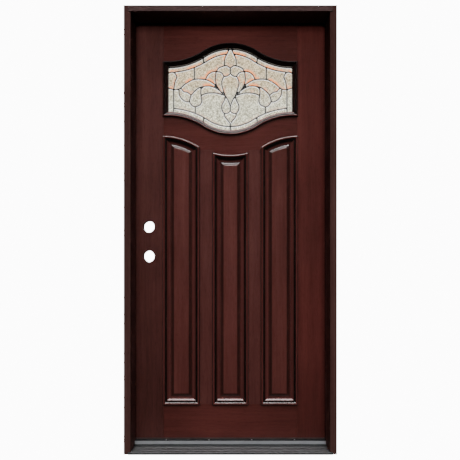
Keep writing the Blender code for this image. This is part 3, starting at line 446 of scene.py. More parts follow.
def ramp(tree, value, low, high, out_low=0.0, out_high=1.0):
    """A value mapped from one range to another, smoothly and held at the ends."""
    return put(tree, "ShaderNodeMapRange",
               {"Value": value, "From Min": low, "From Max": high, "To Min": out_low,
                "To Max": out_high}, interpolation_type="SMOOTHSTEP").outputs["Result"]


def mix_colour(tree, share, a, b, blend="MIX"):
    """Two colours mixed by a share."""
    made = put(tree, "ShaderNodeMix", {0: share, 6: a, 7: b}, data_type="RGBA", blend_type=blend)
    return made.outputs[2]


def timber_group():
    """Stained timber: the grain runs along the vector's Z.

    Broad ribbons, finer streaks and short dark pores are noises stretched along the grain; a slow
    noise blotches the stain.
    """
    tree, takes, gives = new_group(
        "timber_grain",
        [("Vector", "NodeSocketVector", None), ("Dark", "NodeSocketColor", None),
         ("Light", "NodeSocketColor", None), ("Contrast", "NodeSocketFloat", 1.0)],
        STUFF_OUTPUTS)
    place = takes.outputs["Vector"]
    slow = noise(tree, place, 3.1, 2.0, 0.5)
    drift = put(tree, "ShaderNodeTexNoise", {"Vector": place, "Scale": 2.2, "Detail": 1.0})
    wander = vector_maths(tree, "MULTIPLY", drift.outputs["Color"], (0.02, 0.02, 0.0))
    bent = vector_maths(tree, "ADD", place, wander)
    long_way = vector_maths(tree, "MULTIPLY", bent, (1.0, 1.0, 0.045))
    ribbon = noise(tree, long_way, 24.0, 2.0, 0.55)
    streak = noise(tree, long_way, 130.0, 3.0, 0.6)
    fine = noise(tree, long_way, 520.0, 2.0, 0.6)
    pore_way = vector_maths(tree, "MULTIPLY", place, (1.0, 1.0, 0.03))
    pores = ramp(tree, noise(tree, pore_way, 1150.0, 1.0, 0.5), 0.60, 0.72)
    tone = plus(tree, times(tree, ribbon, 0.42), times(tree, streak, 0.36))
    tone = plus(tree, tone, times(tree, fine, 0.12))
    tone = plus(tree, tone, times(tree, slow, 0.30))
    tone = maths(tree, "SUBTRACT", tone, 0.60)
    tone = times(tree, tone, times(tree, takes.outputs["Contrast"], 2.3))
    tone = maths(tree, "ADD", tone, 0.5, clamp=True)
    stain = mix_colour(tree, tone, takes.outputs["Dark"], takes.outputs["Light"])
    stain = mix_colour(tree, times(tree, pores, 0.42), stain, DARK_PORES)
    rough = plus(tree, times(tree, streak, 0.10), times(tree, slow, 0.10))
    rough = plus(tree, rough, times(tree, pores, 0.10))
    height = maths(tree, "SUBTRACT", times(tree, streak, 0.5), pores)
    feed(gives, {"Colour": stain, "Roughness": rough, "Height": height})
    return tree


def metal_group():
    """Drawn metal: a noise stretched along X scratches it, and a slow noise dulls it in patches."""
    tree, takes, gives = new_group(
        "drawn_metal",
        [("Vector", "NodeSocketVector", None), ("Colour", "NodeSocketColor", None),
         ("Tarnish", "NodeSocketColor", None), ("Amount", "NodeSocketFloat", 0.3)],
        STUFF_OUTPUTS)
    place = takes.outputs["Vector"]
    along = vector_maths(tree, "MULTIPLY", place, (0.03, 1.0, 1.0))
    lines = noise(tree, along, 1600.0, 2.0, 0.6)
    patches = noise(tree, place, 26.0, 3.0, 0.6)
    dull = times(tree, ramp(tree, patches, 0.42, 0.68), takes.outputs["Amount"])
    shade = mix_colour(tree, dull, takes.outputs["Colour"], takes.outputs["Tarnish"])
    shade = mix_colour(tree, times(tree, lines, 0.22), shade, takes.outputs["Tarnish"])
    rough = plus(tree, times(tree, lines, 0.18), times(tree, patches, 0.16))
    feed(gives, {"Colour": shade, "Roughness": rough, "Height": lines})
    return tree


TIMBER = timber_group()
METAL = metal_group()


def new_material(name):
    """A material with only its Principled shader."""
    made = bpy.data.materials.new(name)
    made.use_nodes = True
    return made, made.node_tree, made.node_tree.nodes["Principled BSDF"]


def bump(tree, height, strength, distance):
    """A Bump node's normal."""
    made = put(tree, "ShaderNodeBump",
               {"Height": height, "Strength": strength, "Distance": distance})
    return made.outputs["Normal"]


def grain_place(tree, way, shift):
    """The grain's coordinates: Z along the piece, from Object coordinates or the piece's own UV."""
    coordinates = tree.nodes.new("ShaderNodeTexCoord")
    if way == "path":
        round_it, along, _ = split(tree, coordinates.outputs["UV"])
        return put(tree, "ShaderNodeCombineXYZ", {0: round_it, 1: shift, 2: along}).outputs[0]
    turn = (0.0, math.radians(90), 0.0) if way == "across" else (0.0, 0.0, 0.0)
    return put(tree, "ShaderNodeMapping", {"Vector": coordinates.outputs["Object"],
                                           "Location": (shift, 0.0, 0.3 * shift), "Rotation": turn}
               ).outputs[0]


def painted_shade_amount(tree, name):
    """How much painted shade darkens a spot under a ledge or in a corner, from an upward occlusion.

    The jambs' inner faces get painted shade all over, and the stiles' feet and the rails' ends are
    darkened a little.
    """
    # Painted shade from an occlusion that looks upward, so it lies under ledges and in corners
    normal = tree.nodes.new("ShaderNodeNewGeometry").outputs["Normal"]
    lean = vector_maths(tree, "ADD", normal, (0.0, 0.0, 1.2))
    lean = put(tree, "ShaderNodeVectorMath", {0: lean}, operation="NORMALIZE").outputs[0]
    openness = put(tree, "ShaderNodeAmbientOcclusion", {"Normal": lean, "Distance": 0.022},
                   samples=6)
    amount = ramp(tree, openness.outputs["AO"], 0.34, 0.79, 1.0, 0.0)
    x, _, z = split(tree, object_place(tree))
    if name in STILE_FEET:
        amount = larger(tree, amount, ramp(tree, z, *STILE_FEET[name], 0.0))
    if name == "jamb_wood":
        side = maths(tree, "ABSOLUTE", x)
        for low, high, share in JAMB_EDGES:
            edge = ramp(tree, side, JAMB_FACE + low, JAMB_FACE + high, share, 0.0)
            amount = larger(tree, amount, edge)
    if name == "rail_wood":
        amount = larger(tree, amount, ramp(tree, maths(tree, "ABSOLUTE", x), *RAIL_ENDS))
    return amount


def wood(name, way, dark, light, roughness=0.45, coat=0.5, contrast=1.3, shift=0.0, specular=0.12):
    """Stained and lacquered timber, its grain up the piece, across it or along its path.

    Mouldings and panels carry their own painted shade; on the rest painted shade is laid under
    ledges and in the corners.
    """
    made, tree, shader = new_material(name)
    grain = put(tree, "ShaderNodeGroup", node_tree=TIMBER)
    feed(grain, {"Vector": grain_place(tree, way, shift), "Dark": (*dark, 1.0),
                 "Light": (*light, 1.0), "Contrast": contrast})
    # Painted shade: from the mesh's attribute, or from an upward occlusion under ledges and in
    # corners
    painted_shade = attribute(tree, "painted_shade") if name in PAINTED else painted_shade_amount(tree, name)
    relief = 0.08 if name in PAINTED else 0.2
    feed(shader, {
        "Base Color": mix_colour(tree, painted_shade, grain.outputs["Colour"], PAINTED_SHADE_COLOUR),
        "Roughness": plus(tree, grain.outputs["Roughness"], roughness - 0.1),
        "Normal": bump(tree, grain.outputs["Height"], relief, 0.0003),
        "Specular IOR Level": specular, "Coat Weight": coat, "Coat Roughness": 0.10,
        "Coat IOR": 1.5})
    return made


def cap_painted_shade(tree, y, z):
    """Painted shade darkens the cap on top, behind its pale face."""
    return ramp(tree, y, *CAP_TOP)


def deck_painted_shade(tree, y, z):
    """Painted shade darkens the deck on its front nose and in the gutter before the cap."""
    nose = larger(tree, ramp(tree, y, *GUTTER), ramp(tree, z, *NOSE_TOP))
    return larger(tree, nose, ramp(tree, y, *NOSE_FRONT))


def metal(name, colour, tarnish, roughness, amount=0.3, metallic=1.0, relief=0.1, shade_zone=None,
          specular=0.5):
    """Drawn or cast metal with faint scratches and dull patches, darkened in a zone by painted
    shade.
    """
    made, tree, shader = new_material(name)
    group = put(tree, "ShaderNodeGroup", node_tree=METAL)
    feed(group, {"Vector": object_place(tree), "Colour": (*colour, 1.0),
                 "Tarnish": (*tarnish, 1.0), "Amount": amount})
    colour = group.outputs["Colour"]
    if shade_zone:
        # Painted shade: the zone's mask darkens the metal and takes its metallic sheen away
        _, y, z = split(tree, object_place(tree))
        painted_dark = shade_zone(tree, y, z)
        colour = mix_colour(tree, painted_dark, colour, PAINTED_METAL_SHADE)
        if metallic:
            metallic = ramp(tree, painted_dark, 0.0, 1.0, metallic, 0.0)
    feed(shader, {
        "Base Color": colour, "Metallic": metallic, "Specular IOR Level": specular,
        "Roughness": plus(tree, group.outputs["Roughness"], roughness - 0.17),
        "Normal": bump(tree, group.outputs["Height"], relief, 0.0002)})
    return made


def plain_stuff(name, dark, light, roughness, scale=900.0, relief=0.3):
    """Vinyl, foam or moulded filler: a fine mottle in colour and relief."""
    made, tree, shader = new_material(name)
    place = object_place(tree)
    grains = noise(tree, place, scale, 3.0, 0.6)
    clouds = noise(tree, place, 18.0, 2.0, 0.5)
    share = plus(tree, times(tree, grains, 0.6), times(tree, clouds, 0.6))
    feed(shader, {
        "Base Color": mix_colour(tree, ramp(tree, share, 0.4, 0.8), (*dark, 1.0), (*light, 1.0)),
        "Roughness": plus(tree, times(tree, grains, 0.2), roughness - 0.1),
        "Normal": bump(tree, grains, relief, 0.0003)})
    return made


def glass_material():
    """Textured glass: pale seedy flats, painted highlights on bevels, painted warm glints on those
    that look down.
    """
    made, tree, shader = new_material("textured_glass")
    place = object_place(tree)
    ripple = noise(tree, place, 105.0, 2.0, 0.6, 0.8)
    seeds = noise(tree, place, 230.0, 2.0, 0.6, 0.3)
    cloud = noise(tree, place, 9.0, 2.0, 0.5)
    rim, painted_glint, bright = (attribute(tree, key) for key in ("rim", "painted_glint", "bright"))
    mottle = ramp(tree, plus(tree, times(tree, ripple, 0.5), times(tree, seeds, 0.5)), 0.42, 0.58)
    height = plus(tree, split(tree, place)[2], times(tree, cloud, 0.10))
    low_share = ramp(tree, height, WINDOW_CENTRE + 0.09, WINDOW_CENTRE - 0.02)
    tint = mix_colour(tree, low_share, UPPER_GLASS, LOWER_GLASS)
    sparkle = mix_colour(tree, mottle, *SPARKLE)
    tint = mix_colour(tree, 1.0, tint, sparkle, "MULTIPLY")
    # Painted highlights and painted warm glints on the bevels; the rim darkens the glass along the
    # lead
    tint = mix_colour(tree, bright, tint, PALE_GLINT)
    tint = mix_colour(tree, times(tree, rim, 0.62), tint, GLASS_EDGE)
    patchy = ramp(tree, noise(tree, place, 14.0, 2.0, 0.5), 0.40, 0.56)
    tint = mix_colour(tree, times(tree, painted_glint, patchy), tint, WARM_GLINT)
    feed(shader, {"Base Color": tint, "Roughness": plus(tree, times(tree, mottle, 0.12), 0.12),
                  "Normal": bump(tree, mottle, 0.5, 0.0006), "Transmission Weight": 1.0,
                  "IOR": 1.48})
    return made


LOOKS = {
    "lock_stile": wood("lock_stile_wood", "up", (0.076, 0.0250, 0.0215), (0.136, 0.046, 0.040)),
    "hinge_stile": wood("hinge_stile_wood", "up", (0.086, 0.0212, 0.0180), (0.150, 0.038, 0.032),
                        shift=3.7),
    "mullion": wood("mullion_wood", "up", (0.094, 0.0295, 0.0260), (0.158, 0.052, 0.045),
                    shift=7.1),
    "rail": wood("rail_wood", "across", (0.090, 0.0235, 0.0200), (0.160, 0.043, 0.036), shift=5.3),
    "panel": wood("panel_wood", "up", (0.106, 0.0300, 0.0250), (0.174, 0.052, 0.0445), coat=1.0,
                  shift=1.9),
    "moulding": wood("moulding_wood", "path", (0.102, 0.0295, 0.026), (0.165, 0.049, 0.043),
                     roughness=0.40, coat=0.58),
    "window_moulding": wood("window_moulding_wood", "path", (0.098, 0.0300, 0.0280),
                            (0.158, 0.050, 0.047), roughness=0.42, coat=0.34, shift=2.3),
    "stop": wood("stop_wood", "path", (0.070, 0.017, 0.014), (0.115, 0.030, 0.024), shift=0.6),
    "jamb": wood("jamb_wood", "up", (0.079, 0.0345, 0.0295), (0.133, 0.061, 0.0545), 0.4, 0.0,
                 shift=11.3, specular=0.01),
    "head": wood("head_wood", "across", (0.052, 0.0280, 0.0262), (0.086, 0.0465, 0.0440), 0.4, 0.0,
                 shift=9.4, specular=0.08),
    "lead": metal("dark_lead", (0.06, 0.06, 0.06), (0.02, 0.02, 0.02), 0.42, 0.5, 0.8, 0.3),
    "deck": metal("mill_aluminium", (0.064, 0.064, 0.066), (0.042, 0.042, 0.044), 0.32, 0.2, 0.28,
                  relief=0.03, shade_zone=deck_painted_shade, specular=0.15),
    "cap": metal("cap_finish", (0.40, 0.41, 0.43), (0.29, 0.29, 0.31), 0.50, 0.3, 0.0,
                 shade_zone=cap_painted_shade, specular=0.08),
    "screw": metal("screw_steel", (0.75, 0.75, 0.76), (0.5, 0.5, 0.5), 0.28, 0.2, 1.0),
    "hinge": metal("hinge_metal", (0.48, 0.36, 0.20), (0.22, 0.16, 0.10), 0.34, 0.4, 1.0),
    "base": plain_stuff("sill_filler", (0.03, 0.03, 0.03), (0.07, 0.068, 0.065), 0.75, 500.0),
    "seal": plain_stuff("soft_seal", (0.022, 0.013, 0.011), (0.040, 0.024, 0.021), 0.55, 1300.0),
    "sweep": plain_stuff("sweep_vinyl", (0.045, 0.026, 0.023), (0.075, 0.045, 0.041), 0.5, 1000.0),
    "glass": glass_material(),
}


def dress(look, *nodes):
    """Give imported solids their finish."""
    for name in nodes:
        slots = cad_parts[name].material_slots
        for slot in slots:
            slot.material = LOOKS[look]
        if not slots:
            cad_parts[name].data.materials.append(LOOKS[look])


for look, nodes in {
        "lock_stile": ["lock_stile"], "hinge_stile": ["hinge_stile"],
        "mullion": ["mullion_left", "mullion_right"],
        "rail": ["top_rail", "middle_rail", "bottom_rail"],
        "jamb": ["strike_jamb", "hinge_jamb"], "head": ["head_jamb"],
        "deck": ["sill_deck"], "cap": ["sill_cap"], "base": ["sill_base"],
        "seal": ["weatherstrip_strike", "weatherstrip_hinge", "weatherstrip_head"],
        "sweep": ["door_sweep"],
        "hinge": [f"{kind}_{n}" for kind in ("jamb_hinge_leaf", "door_hinge_leaf", "hinge_pin")
                  for n in (1, 2, 3)],
        "screw": [f"cap_screw_{n}" for n in (1, 2, 3, 4)]}.items():
    dress(look, *nodes)


# Mouldings, stops and raised panels

# How much painted shade darkens each side's moulding, point by point round its section: the outer
# edge, the bead, the quirk, the cyma and the leg; the top's hollows look down and get the most
SHADED = {side: np.concatenate([np.zeros(1 + BEAD_STEPS), np.ones(2),
                                depth * np.linspace(1.9, 0.0, CYMA_STEPS), np.zeros(3)])
          for side, depth in (("left", 0.22), ("right", 0.22), ("top", 0.95), ("bottom", 0.0))}
# Painted shade on the window's moulding: dark past the bead's outer flank on the top and sides,
# none on the bottom
WINDOW_SHADED = {side: np.where(np.arange(len(SHADED[side])) < 7, 0.0, depth)
                 for side, depth in (("left", 0.9), ("right", 0.9), ("top", 1.0), ("bottom", 0.0))}


def make_joinery():
    """Lay the finer mouldings, window stops and raised panels over their solids."""
    seed = 0
    section, painted_shade = bolection(PANEL_MOULDING, -0.45 * LEG, -LEG, PANEL_BEAD)
    for name in ("left", "centre", "right"):
        for side in SHADED:
            seed += 1
            mitred_bar(f"panel_moulding_{name}_{side}", partial(panel_edge, name), side, section,
                       LOOKS["moulding"], seed, np.maximum(painted_shade, SHADED[side]))
    section, painted_shade = bolection(WINDOW_MOULDING, -0.28 * LEG, -GLASS_SINK + FIT_GAP, WINDOW_BEAD)
    glass_back = GLASS_SINK + CAME_THICK + FIT_GAP + GLASS_THICK
    near = LAP + PLAY
    turn = np.linspace(0, np.pi / 2, 7)
    nose = np.stack([near + STOP_TOP_WIDTH + (STOP_WIDTH - STOP_TOP_WIDTH) * np.cos(turn),
                     STOP_NOSE - LEAF_THICK - (STOP_NOSE - FIT_GAP) * np.sin(turn)], 1)
    bed = -glass_back - FIT_GAP
    stop = np.vstack([[(near, bed), (near + STOP_WIDTH, bed)], nose,
                      [(near, FIT_GAP - LEAF_THICK)]])
    for side in WINDOW_SHADED:
        seed += 1
        mitred_bar(f"window_moulding_{side}", window_edge, side, section, LOOKS["window_moulding"],
                   seed, np.maximum(painted_shade, WINDOW_SHADED[side]))
        mitred_bar(f"window_stop_{side}", window_edge, side, stop, LOOKS["stop"], seed)
    seat = LEG + FIT_GAP
    hip = PANEL_MOULDING + PLAY
    tongue = LAP - GROOVE_DEPTH + SHRINK_GAP
    groove_back = GROOVE_FRONT + GROOVE_WIDTH
    back_foot = LAP + INSIDE_CHAMFER
    # Each front row's inset, height and painted shade, from the field out to the moulding, then the
    # back's; painted shade darkens the bevel and the hip, where shade falls
    front = [(FIELD_SET_IN + 0.0018, -FIELD_SINK, 0), (FIELD_SET_IN, -FIELD_SINK, 0),
             (FIELD_SET_IN - 0.0006, -0.00135, 0.05), (FIELD_SET_IN - 0.0013, -0.0017, 0.3),
             (FIELD_SET_IN - 0.0022, -0.0020, 0.75), (BEVEL_SET_IN + 0.0036, -0.0040, 0.75),
             (BEVEL_SET_IN + 0.0016, -0.0051, 0.6), (BEVEL_SET_IN + 0.0006, -0.0062, 0.5),
             (BEVEL_SET_IN, -0.0078, 1),
             (BEVEL_SET_IN - 0.0006, -0.0080, 0.9), (BEVEL_SET_IN - 0.0016, -0.0081, 0.1),
             (hip + 0.0012, -0.0084, 0.1), (hip, -0.0086, 1), (hip, -seat, 1)]
    back = [(LAP + PLAY, -seat), (LAP + PLAY, -GROOVE_FRONT - FIT_GAP),
            (tongue, -GROOVE_FRONT - FIT_GAP), (tongue, FIT_GAP - groove_back),
            (LAP + PLAY, FIT_GAP - groove_back), (back_foot, -groove_back - FIT_GAP),
            (back_foot + 0.026, INSIDE_CHAMFER + 0.002 - LEAF_THICK),
            (back_foot + 0.0263, INSIDE_CHAMFER + 0.0004 - LEAF_THICK),
            (back_foot + 0.027, INSIDE_CHAMFER - LEAF_THICK)]
    heights = [height for _, height, _ in front] + [height for _, height in back]
    painted_shade = [share for _, _, share in front] + [0.0] * len(back)
    # Only the rows inside the moulding rise at the head
    for name in ("left", "centre", "right"):
        outlines = [panel_loop(name, inset, MULLION_SPREAD, HEAD_LIFT * (inset > hip + 0.0005))
                    for inset, _, _ in front]
        outlines += [panel_loop(name, inset) for inset, _ in back]
        corners = [0, 1, 2, len(outlines[0]) - 1]
        piece = ring(f"raised_panel_{name}_shaped", outlines, heights, corners, painted_shade,
                     LOOKS["panel"], "door")
        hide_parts(f"raised_panel_{name}")


make_joinery()


# Leaded glass

def smooth_line(controls, step):
    """Points on a Catmull-Rom curve through the control points, about a step apart.

    Between p1 and p2 the curve is half of 2 p1 + (p2 - p0) t + (2 p0 - 5 p1 + 4 p2 - p3) t^2
    + (3 p1 - p0 - 3 p2 + p3) t^3.
    """
    p = np.asarray(controls, float)
    p = np.vstack([2 * p[0] - p[1], p, 2 * p[-1] - p[-2]])
    runs = []
    for p0, p1, p2, p3 in zip(p, p[1:], p[2:], p[3:]):
        count = max(2, int(round(np.linalg.norm(p2 - p1) / step)))
        t = (np.arange(count) / count)[:, None]
        runs.append(0.5 * (2 * p1 + (p2 - p0) * t + (2 * p0 - 5 * p1 + 4 * p2 - p3) * t ** 2
                           + (3 * p1 - p0 - 3 * p2 + p3) * t ** 3))
    return np.vstack(runs + [p[-2:-1]])


def straight_line(start, end, step):
    """Evenly spaced points from start to end."""
    start, end = np.asarray(start, float), np.asarray(end, float)
    count = max(2, int(np.ceil(np.linalg.norm(end - start) / step)))
    return start + (end - start) * np.linspace(0, 1, count + 1)[:, None]


def resample(line, step):
    """The same path with its points about a step apart."""
    run = np.concatenate([[0], np.linalg.norm(np.diff(line, axis=0), axis=1).cumsum()])
    even = np.linspace(0, run[-1], max(2, int(round(run[-1] / step))) + 1)
    return np.stack([np.interp(even, run, line[:, 0]), np.interp(even, run, line[:, 1])], 1)


def half_outline(inset, step=LINE_STEP):
    """The right half of the window's outline at an inset, from the foot's middle to the head's."""
    head = window_head(inset, 60)
    head = head[head[:, 0] > -SPECK]
    path = np.vstack([(head * (1, -1))[::-1], head])
    return resample(path, step)


def scroll_lines():
    """The right half of the leaded scroll: leaves, petals and drops about an upright bud.

    Each number is a share of the window's half width or half height.
    """
    lobe_foot, spear_foot, shoulder = (0.2105, 0.4092), (0.0880, 0.5310), (0.0911, 0.3080)
    leaf_neck, gather = (0.1005, -0.0782), (0.0738, -0.1177)
    drop_top, drop_side, drop_foot = (0.3990, 0.0809), (0.4367, -0.1149), (0.5215, -0.3632)
    lobe_end, leaf_fork, leaf_tip = (0.6063, -0.2510), (0.5844, -0.1103), (0.7367, 0.0483)
    bud_foot, pair_foot = (0.8420, 0.0161), (0.0911, -0.4966)
    shares = [
        [(0, 0.9333), (0.0597, 0.7632), (0.0848, 0.6667), spear_foot],
        [(0, 0.4828), (0.0314, 0.5195), (0.0691, 0.5356), (0.1634, 0.4920), lobe_foot],
        [lobe_foot, (0.1382, 0.3862), shoulder, (0.0456, 0.3126), (0, 0.3586)],
        [lobe_foot, (0.2733, 0.3954), (0.3330, 0.3356), (0.3707, 0.2322)],
        [lobe_foot, (0.2231, 0.2529), (0.2105, 0.1379), (0.1869, 0.0621)],
        [leaf_tip, (0.6597, 0.1471), (0.5357, 0.2368), (0.3707, 0.2322), (0.2639, 0.1609),
         (0.1869, 0.0621), (0.1445, -0.0253), leaf_neck, gather],
        [leaf_fork, (0.5341, -0.0253), (0.4650, 0.0529), drop_top, (0.3236, 0.0943),
         (0.2545, 0.0736), (0.1791, 0.0138), leaf_neck],
        [leaf_tip, (0.6943, -0.0253), (0.6378, -0.0483), leaf_fork],
        [(0.7634, 0.0230), (0.7571, -0.1034), (0.7132, -0.1977), (0.6597, -0.2460), lobe_end],
        [drop_top, (0.4367, 0.0138), drop_side, (0.4257, -0.2345), (0.4524, -0.3172), drop_foot],
        [drop_foot, (0.5655, -0.3379), lobe_end, (0.5969, -0.1701), leaf_fork],
        [drop_side, (0.3629, -0.0713), (0.2812, -0.0575), (0.1901, -0.0667), gather],
        [shoulder, (0.1194, 0.2253), (0.1272, 0.1425), (0.1100, 0.0276), gather, (0.0361, -0.2115),
         (0, -0.3448)],
        [gather, (0.0911, -0.2207), (0.1257, -0.3310), (0.1225, -0.4322), pair_foot,
         (0.0456, -0.5011), (0, -0.4598)],
        [pair_foot, (0.0785, -0.5793), (0.0361, -0.6575), (0, -0.7264)],
        [(0.9488, 0.3517), (0.8702, 0.3954), (0.8231, 0.3632), (0.7980, 0.2805), (0.8231, 0.1839),
         bud_foot],
        [(0.9488, 0.0690), (0.8954, 0.0391), bud_foot, (0.7854, 0.0161), leaf_tip],
    ]
    scale = (OUTER_HALF, WINDOW_HEIGHT / 2)
    return [smooth_line(np.array(line) * scale, LINE_STEP) for line in shares]


def came_lines():
    """Centre lines of all cames in the right half: the scroll, the border and its straight bars."""
    lines = scroll_lines()
    half_height = WINDOW_HEIGHT / 2
    head = window_head(WINDOW_MOULDING + BORDER_WIDTH, 60)
    head = head[head[:, 0] >= -SPECK][::-1]

    def border(x):
        return float(np.interp(x, head[:, 0], head[:, 1]))

    reach = WINDOW_HEIGHT / 2 - RIM_INSET + RIM_REACH
    spear, petal = 0.0581 * OUTER_HALF, 0.8231 * OUTER_HALF
    x = np.linspace(spear, petal, 90)
    lines.append(resample(np.stack([x, np.interp(x, head[:, 0], head[:, 1])], 1), LINE_STEP))
    lines.append(straight_line((petal, border(petal)), (petal, 0.3632 * half_height), LINE_STEP))
    x = np.linspace(0, SIDE_BORDER_X, 90)
    lines.append(resample(np.stack([x, -np.interp(x, head[:, 0], head[:, 1])], 1), LINE_STEP))
    for x, low, high in (
            (0.0, 0.3586 * half_height, 0.4828 * half_height),
            (0.0, -0.4598 * half_height, -0.3448 * half_height),
            (0.0, -reach, -0.7264 * half_height),
            (SIDE_BORDER_X, -reach + OGEE_RISE, 0.0161 * half_height),
            (UPPER_BAR_X, 0.2368 * half_height, border(UPPER_BAR_X)),
            (LOWER_BAR_X, -border(LOWER_BAR_X), -0.3632 * half_height),
            (CROSS_BAR_X, border(CROSS_BAR_X), border(CROSS_BAR_X) + BORDER_WIDTH),
            (CROSS_BAR_X, -border(CROSS_BAR_X) - BORDER_WIDTH, -border(CROSS_BAR_X))):
        lines.append(straight_line((x, low), (x, high), LINE_STEP))
    return lines


def nearest(points, lines):
    """Distance from each point to the nearest of the lines, and the step from line to point."""
    starts = np.vstack([line[:-1] for line in lines])
    spans = np.vstack([np.diff(line, axis=0) for line in lines])
    lengths = np.maximum((spans ** 2).sum(1), 1e-16)
    best = np.full(len(points), 1e9)
    offset = np.zeros((len(points), 2))
    for low in range(0, len(points), 600):
        p = points[low:low + 600]
        away = p[:, None] - starts[None]
        t = np.clip((away * spans).sum(2) / lengths, 0, 1)
        away -= t[:, :, None] * spans
        gap = (away ** 2).sum(2)
        pick = gap.argmin(1)
        row = np.arange(len(p))
        best[low:low + 600] = np.sqrt(gap[row, pick])
        offset[low:low + 600] = away[row, pick]
    return best, offset


def side_lines(line, offset):
    """The line moved sideways by an offset, along the mean of the normals at each point."""
    along = np.gradient(line, axis=0)
    along /= np.maximum(np.linalg.norm(along, axis=1, keepdims=True), 1e-12)
    return line + offset * np.stack([-along[:, 1], along[:, 0]], 1)


def lattice_mesh():
    """Triangles over the window's right half, with points along every came and bevel edge.

    Returns the points in X and Z, the triangles, each point's distance to the nearest came line or
    rim, and the step from that line to it.
    """
    lines = came_lines()
    both = lines + [line * (-1, 1) for line in lines]
    rim_line = half_outline(RIM_INSET - RIM_TUCK)
    rims = [rim_line, rim_line * (-1, 1)]
    half = CAME_WIDTH / 2

    def field(points):
        came, came_step = nearest(points, both)
        rim, rim_step = nearest(points, rims)
        rim = rim - RIM_TUCK + half
        use_rim = rim < came
        return np.where(use_rim, rim, came), np.where(use_rim[:, None], rim_step, came_step)

    runs = [(rim_line, 0.0, True), (half_outline(RIM_INSET), half, False),
            (half_outline(RIM_INSET + BEVEL_WIDTH), half + BEVEL_WIDTH, False)]
    for line in lines:
        for offset in (0.0, 0.35 * CAME_WIDTH, half, half + BEVEL_WIDTH):
            for sign in ((1,) if offset == 0 else (1, -1)):
                runs.append((side_lines(line, sign * offset), offset, False))
    points, edges = [], []
    count = 0
    for run, offset, always in runs:
        away, _ = field(run)
        clear = (away > offset - NEAR) | always
        inside = (run[:, 0] > -SPECK) & (nearest(run, rims)[0] > RIM_CLEAR) & within(run, rim_line)
        inside |= always
        keep = inside[:-1] & inside[1:] & (clear[:-1] | clear[1:])
        used = np.zeros(len(run), bool)
        used[:-1] |= keep
        used[1:] |= keep
        number = np.cumsum(used) - 1 + count
        edges += [(int(number[k]), int(number[k + 1])) for k in np.flatnonzero(keep)]
        points.append(run[used])
        count += int(used.sum())
    points.append(straight_line((0, rim_line[0, 1]), (0, rim_line[-1, 1]), 0.006))
    edges += [(count + k, count + k + 1) for k in range(len(points[-1]) - 1)]
    x, z = np.meshgrid(np.arange(FLAT_STEP / 2, OUTER_HALF, FLAT_STEP),
                       np.arange(-0.22, 0.22, FLAT_STEP))
    flats = np.stack([x.ravel() + FLAT_STEP / 4 * (np.arange(x.size) % 2), z.ravel()], 1)
    flats = flats[within(flats, rim_line)]
    away, _ = field(flats)
    points.append(flats[away > half + BEVEL_WIDTH + FLAT_MARGIN])
    points = np.vstack(points)
    made = delaunay_2d_cdt([Vector(p) for p in points.tolist()], edges, [], 0, 1e-5)
    flat = np.array([tuple(p) for p in made[0]])
    faces = np.array([face for face in made[2] if len(face) == 3])
    a, b, c = flat[faces[:, 0]], flat[faces[:, 1]], flat[faces[:, 2]]
    area = (b[:, 0] - a[:, 0]) * (c[:, 1] - a[:, 1]) - (b[:, 1] - a[:, 1]) * (c[:, 0] - a[:, 0])
    faces[area < 0] = faces[area < 0][:, ::-1]
    middle = (a + b + c) / 3
    faces = faces[(np.abs(area) > SMALLEST_AREA) & within(middle, rim_line) & (middle[:, 0] > 0)]
    away, step = field(flat)
    return flat, faces, away, step


def within(points, half_line):
    """Whether points with X of 0 or more lie inside the half outline, closed along X = 0.

    Counts how many edges a ray towards greater X crosses.
    """
    loop = np.vstack([half_line, [(-1.0, half_line[-1, 1]), (-1.0, half_line[0, 1])]])
    a, b = loop, np.roll(loop, -1, 0)
    z = points[:, 1][:, None]
    spans = (a[:, 1] > z) != (b[:, 1] > z)
    rise = np.where(np.abs(b[:, 1] - a[:, 1]) < 1e-12, 1e-12, b[:, 1] - a[:, 1])
    cross = a[:, 0] + (z - a[:, 1]) / rise * (b[:, 0] - a[:, 0])
    return (spans & (points[:, 0][:, None] < cross)).sum(1) % 2 == 1


def thickened(flat, faces, front, back):
    """A closed solid from a flat sheet: a front, a back, and a wall along every open edge."""
    used, index = np.unique(faces, return_inverse=True)
    faces = index.reshape(faces.shape)
    flat, front, back = flat[used], front[used], back[used]
    count = len(flat)
    z = flat[:, 1] + WINDOW_CENTRE
    points = np.vstack([np.stack([flat[:, 0], front, z], 1), np.stack([flat[:, 0], back, z], 1)])
    edges = np.vstack([faces[:, (0, 1)], faces[:, (1, 2)], faces[:, (2, 0)]])
    key = np.sort(edges, 1)
    _, first, times = np.unique(key, axis=0, return_index=True, return_counts=True)
    rim = edges[first[times == 1]]
    walls = np.stack([rim[:, 0], rim[:, 0] + count, rim[:, 1] + count, rim[:, 1]], 1)
    return points, [faces, faces[:, ::-1] + count, walls], used


